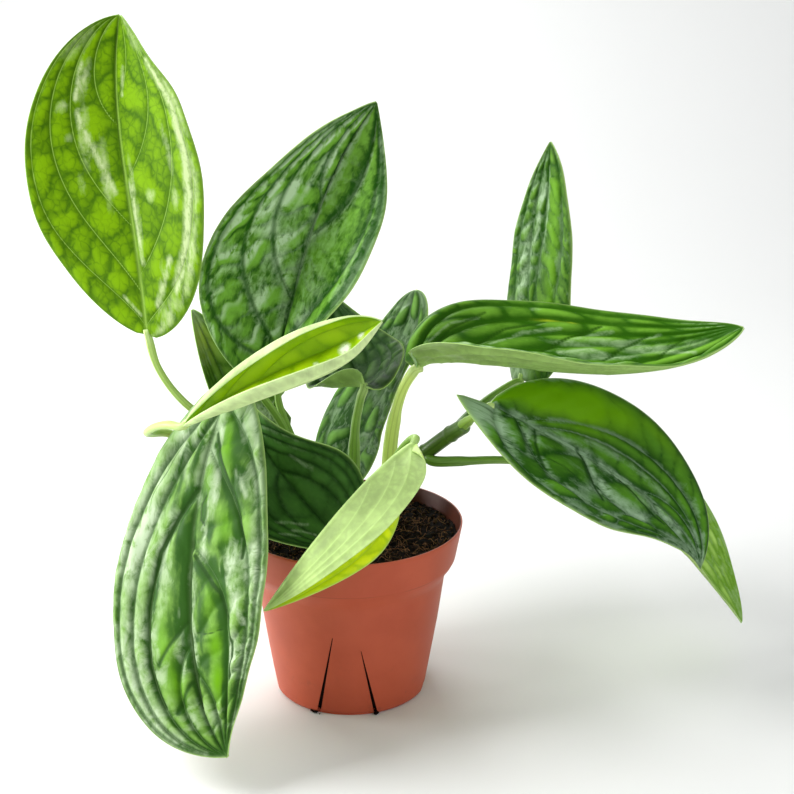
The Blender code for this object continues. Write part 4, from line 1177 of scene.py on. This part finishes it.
class Soil:
    """Bed, crumbs and fibres, all from one row of random draws."""

    def __init__(self):
        self.rng = np.random.default_rng(SOIL_SEED)
        self.material = soil_material()
        self.inset = POT_WALL + SOIL_GAP
        share = (SOIL_LEVEL - COLLAR_Z) / (POT_HEIGHT - COLLAR_Z)
        self.edge = COLLAR_RADIUS + (RIM_RADIUS - COLLAR_RADIUS) * share - self.inset
        self.waves = []
        for size, steps in LUMP_SIZES:
            for _ in range(LUMP_WAVES):
                turn = self.turn()
                k = 2 * math.pi / (steps * self.rng.uniform(*LUMP_VARIETY))
                phase = self.rng.uniform(0, 6.28)
                self.waves.append((k * math.cos(turn), k * math.sin(turn), phase, size / LUMP_DIVISOR))
        self.clear()

    def turn(self):
        return self.rng.uniform(0, 2 * math.pi)

    def clear(self):
        self.points, self.faces, self.tones = [], [], []

    def add(self, points, faces, tone):
        base = len(self.points)
        self.points += list(points)
        self.faces += [tuple(k + base for k in face) for face in faces]
        self.tones += [tone] * len(points)

    def build(self, name, *nodes):
        """Make one piece of what was added since the last one."""
        attributes = dict(tone=self.tones)
        thing = new_mesh(name, self.points, self.faces, [self.material], None, attributes)
        declare(thing, "soil", *nodes)
        self.clear()

    def level(self, x, y, clod_lumps=0.0):
        """Height of the soil, with its lumps and the clod, which can have a share of the lumps."""
        lumps = sum(size * np.sin(kx * x + ky * y + phase) for kx, ky, phase, size in self.waves)
        away = np.hypot(x - CLOD_PLACE[0], y - CLOD_PLACE[1])
        clod = CLOD_HEIGHT * np.exp(-(away / CLOD_RADIUS) ** 2)
        return SOIL_LEVEL - SOIL_SINK + lumps + clod * (1 + clod_lumps * lumps)

    def bed(self):
        rings = [(r, SOIL_LEVEL) for r in np.linspace(0, self.edge, SOIL_RINGS + 1)[1:]]
        rings += [(r - self.inset, z) for r, z in (
            (COLLAR_RADIUS, COLLAR_Z), COVE_TOP, COVE_FOOT, (SHOULDER_RADIUS, SHOULDER_Z),
            (BASE_RADIUS, BASE_ROUNDING + 1.3))]
        rings.append((BASE_RADIUS - BASE_ROUNDING - 0.3, POT_FLOOR + 0.3))
        turns = 2 * math.pi * np.arange(SOIL_SIDES) / SOIL_SIDES
        circle = np.stack((np.cos(turns), np.sin(turns)), -1)
        points = [(0.0, 0.0, SOIL_LEVEL)] + [(r * x, r * y, z) for r, z in rings for x, y in circle]
        points = np.array(points)
        x, y, z = points[:1 + SOIL_RINGS * SOIL_SIDES].T
        z[:] = self.level(x, y, CLOD_LUMPS)
        faces = [(0, 1 + k, 1 + (k + 1) % SOIL_SIDES) for k in range(SOIL_SIDES)]
        for start in range(1, len(points) - SOIL_SIDES, SOIL_SIDES):
            faces += [(a, d, c, b) for a, b, c, d in band(start, SOIL_SIDES)]
        faces.append(tuple(range(len(points) - SOIL_SIDES, len(points)))[::-1])
        self.add(points, faces, 0.0)
        self.build("soil_bed", "soil")

    def crumbs(self):
        uniform = self.rng.uniform
        for _ in range(CRUMBS):
            r, turn = self.edge * math.sqrt(uniform(0, 0.98)), self.turn()
            size = uniform(*CRUMB_SIZES) ** CRUMB_POWER
            shape = OCTAHEDRON * size * uniform(*CRUMB_CORNERS, (6, 1)) * (1, 1, CRUMB_FLATNESS)
            spin = self.turn()
            sine, cosine = math.sin(spin), math.cos(spin)
            r *= min(1.0, (self.edge - CRUMB_WALL_GAP - size) / max(r, LEAST))
            x, y = r * math.cos(turn), r * math.sin(turn)
            turned = shape @ ((cosine, sine, 0), (-sine, cosine, 0), (0, 0, 1))
            turned += (x, y, self.level(x, y) + CRUMB_LIFT * size)
            self.add(turned, OCTAHEDRON_FACES, float(uniform(0, 0.5) ** 2))
        self.build("soil_crumbs")

    def fibres(self):
        uniform = self.rng.uniform
        faces = [face for start in range(0, 3 * FIBRE_STEPS, 3) for face in band(start, 3)]
        faces += [(2, 1, 0), tuple(range(3 * FIBRE_STEPS, 3 * FIBRE_STEPS + 3))]
        for _ in range(FIBRES):
            r, turn = (self.edge - 3) * math.sqrt(uniform(0.02, 1.0)), self.turn()
            heading = self.turn()
            long, bend, thick, tilt = (uniform(*limits) for limits in (
                FIBRE_LENGTHS, FIBRE_BENDS, FIBRE_SIZES, FIBRE_TILTS))
            points = []
            for k in range(FIBRE_STEPS + 1):
                u = k / FIBRE_STEPS * long
                head = heading + bend * k / FIBRE_STEPS * 2
                x, y = r * math.cos(turn) + u * math.cos(head), r * math.sin(turn) + u * math.sin(head)
                inwards = min(1.0, (self.edge - FIBRE_WALL_GAP) / math.hypot(x, y))
                x, y = x * inwards, y * inwards
                z = self.level(x, y) + FIBRE_LIFT + tilt * u / 2
                for a in (0, 2 * math.pi / 3, 4 * math.pi / 3):
                    side, up = thick * math.cos(a), thick * math.sin(a)
                    points.append((x - side * math.sin(head), y + side * math.cos(head), z + up))
            self.add(points, faces, float(uniform(0.25, 1.0)))
        self.build("soil_fibres")

    def slit_crumbs(self):
        """Crumbs in the slits, and some that have fallen out of them in front of the foot."""
        uniform = self.rng.uniform
        for number in range(SLIT_PAIRS * len(SLITS) * SLIT_CRUMBS):
            slit = SLITS[number % len(SLITS)]
            turn = number // len(SLITS) % SLIT_PAIRS * 2 * math.pi / SLIT_PAIRS
            size = uniform(0.5, 0.9)
            z = 1.1 + SLIT_CRUMBS_TOP * uniform(0, 1) ** 2
            x = slit_line(slit, z) + uniform(-0.5, 0.5)
            ring = uniform(SLIT_INNER_RADIUS + 0.5, BASE_RADIUS - 1.6)
            if number // (len(SLITS) * SLIT_PAIRS) < SPILLED_CRUMBS and number // len(SLITS) % 2 == 0:
                z = 1.2 * size
                x = slit_line(slit, 0.0) + uniform(-1.0, 1.0) - 5.0 * (slit["foot"] < 0) * uniform(0, 1) ** 2
                ring = uniform(BASE_RADIUS - 1.0, BASE_RADIUS + 0.6)
            place = around(turn, x, math.sqrt(ring ** 2 - x ** 2), z)
            self.add(OCTAHEDRON * size * uniform(0.6, 1.2, (6, 1)) + place, OCTAHEDRON_FACES, 0.0)
        self.build("slit_crumbs")


soil = Soil()
soil.bed()
soil.crumbs()
soil.fibres()
soil.slit_crumbs()


# Stage.


def stage_material():
    tree = Tree("white_cloth")
    soft = tree.noise(tree.object_place(), 2.2, 3.0)
    return tree.finish(tree.mix(soft, (0.775, 0.78, 0.77), (0.805, 0.81, 0.80)), 0.85)


def build_stage():
    """Pale floor that sweeps up into a backdrop."""
    turns = np.linspace(0, math.pi / 2, SWEEP_STEPS + 1)
    sweep = [(STAGE_BACK + STAGE_SWEEP * math.sin(a), STAGE_SWEEP * (1 - math.cos(a))) for a in turns]
    line = [(STAGE_FRONT, 0.0)] + sweep + [(STAGE_BACK + STAGE_SWEEP, STAGE_TOP)]
    points = [(x, y, z - STAGE_GAP) for y, z in line for x in (-STAGE_HALF_WIDTH, STAGE_HALF_WIDTH)]
    quads = [(k, k + 1, k + 3, k + 2) for k in range(0, len(points) - 2, 2)]
    floor = new_mesh("floor", points, quads, [stage_material()])


def area_light(name, place, aim, size, power):
    data = bpy.data.lights.new(name, "AREA")
    data.shape = "RECTANGLE"
    data.size, data.size_y = size
    data.energy = power
    lamp = bpy.data.objects.new(name, data)
    bpy.context.scene.collection.objects.link(lamp)
    lamp.location = place
    lamp.rotation_euler = (Vector(aim) - Vector(place)).to_track_quat("-Z", "Y").to_euler()


def build_lights():
    world = bpy.data.worlds.new("studio")
    world.use_nodes = True
    back = world.node_tree.nodes["Background"]
    back.inputs["Color"].default_value = (0.97, 0.985, 1.0, 1.0)
    back.inputs["Strength"].default_value = 0.50
    bpy.context.scene.world = world
    for name, settings in LIGHTS.items():
        area_light(name, *settings)


def build_camera():
    data = bpy.data.cameras.new("camera")
    data.lens = LENS
    data.sensor_width = SENSOR
    data.clip_start = 0.01
    camera = bpy.data.objects.new("camera", data)
    bpy.context.scene.collection.objects.link(camera)
    pitch = math.radians(PITCH)
    forward = Vector((0.0, math.cos(pitch), -math.sin(pitch)))
    camera.location = (Vector(AIM) - forward * DISTANCE) * MM
    camera.rotation_euler = forward.to_track_quat("-Z", "Y").to_euler()
    bpy.context.scene.camera = camera


build_stage()
build_lights()
build_camera()
bpy.context.scene.view_settings.view_transform = "Standard"
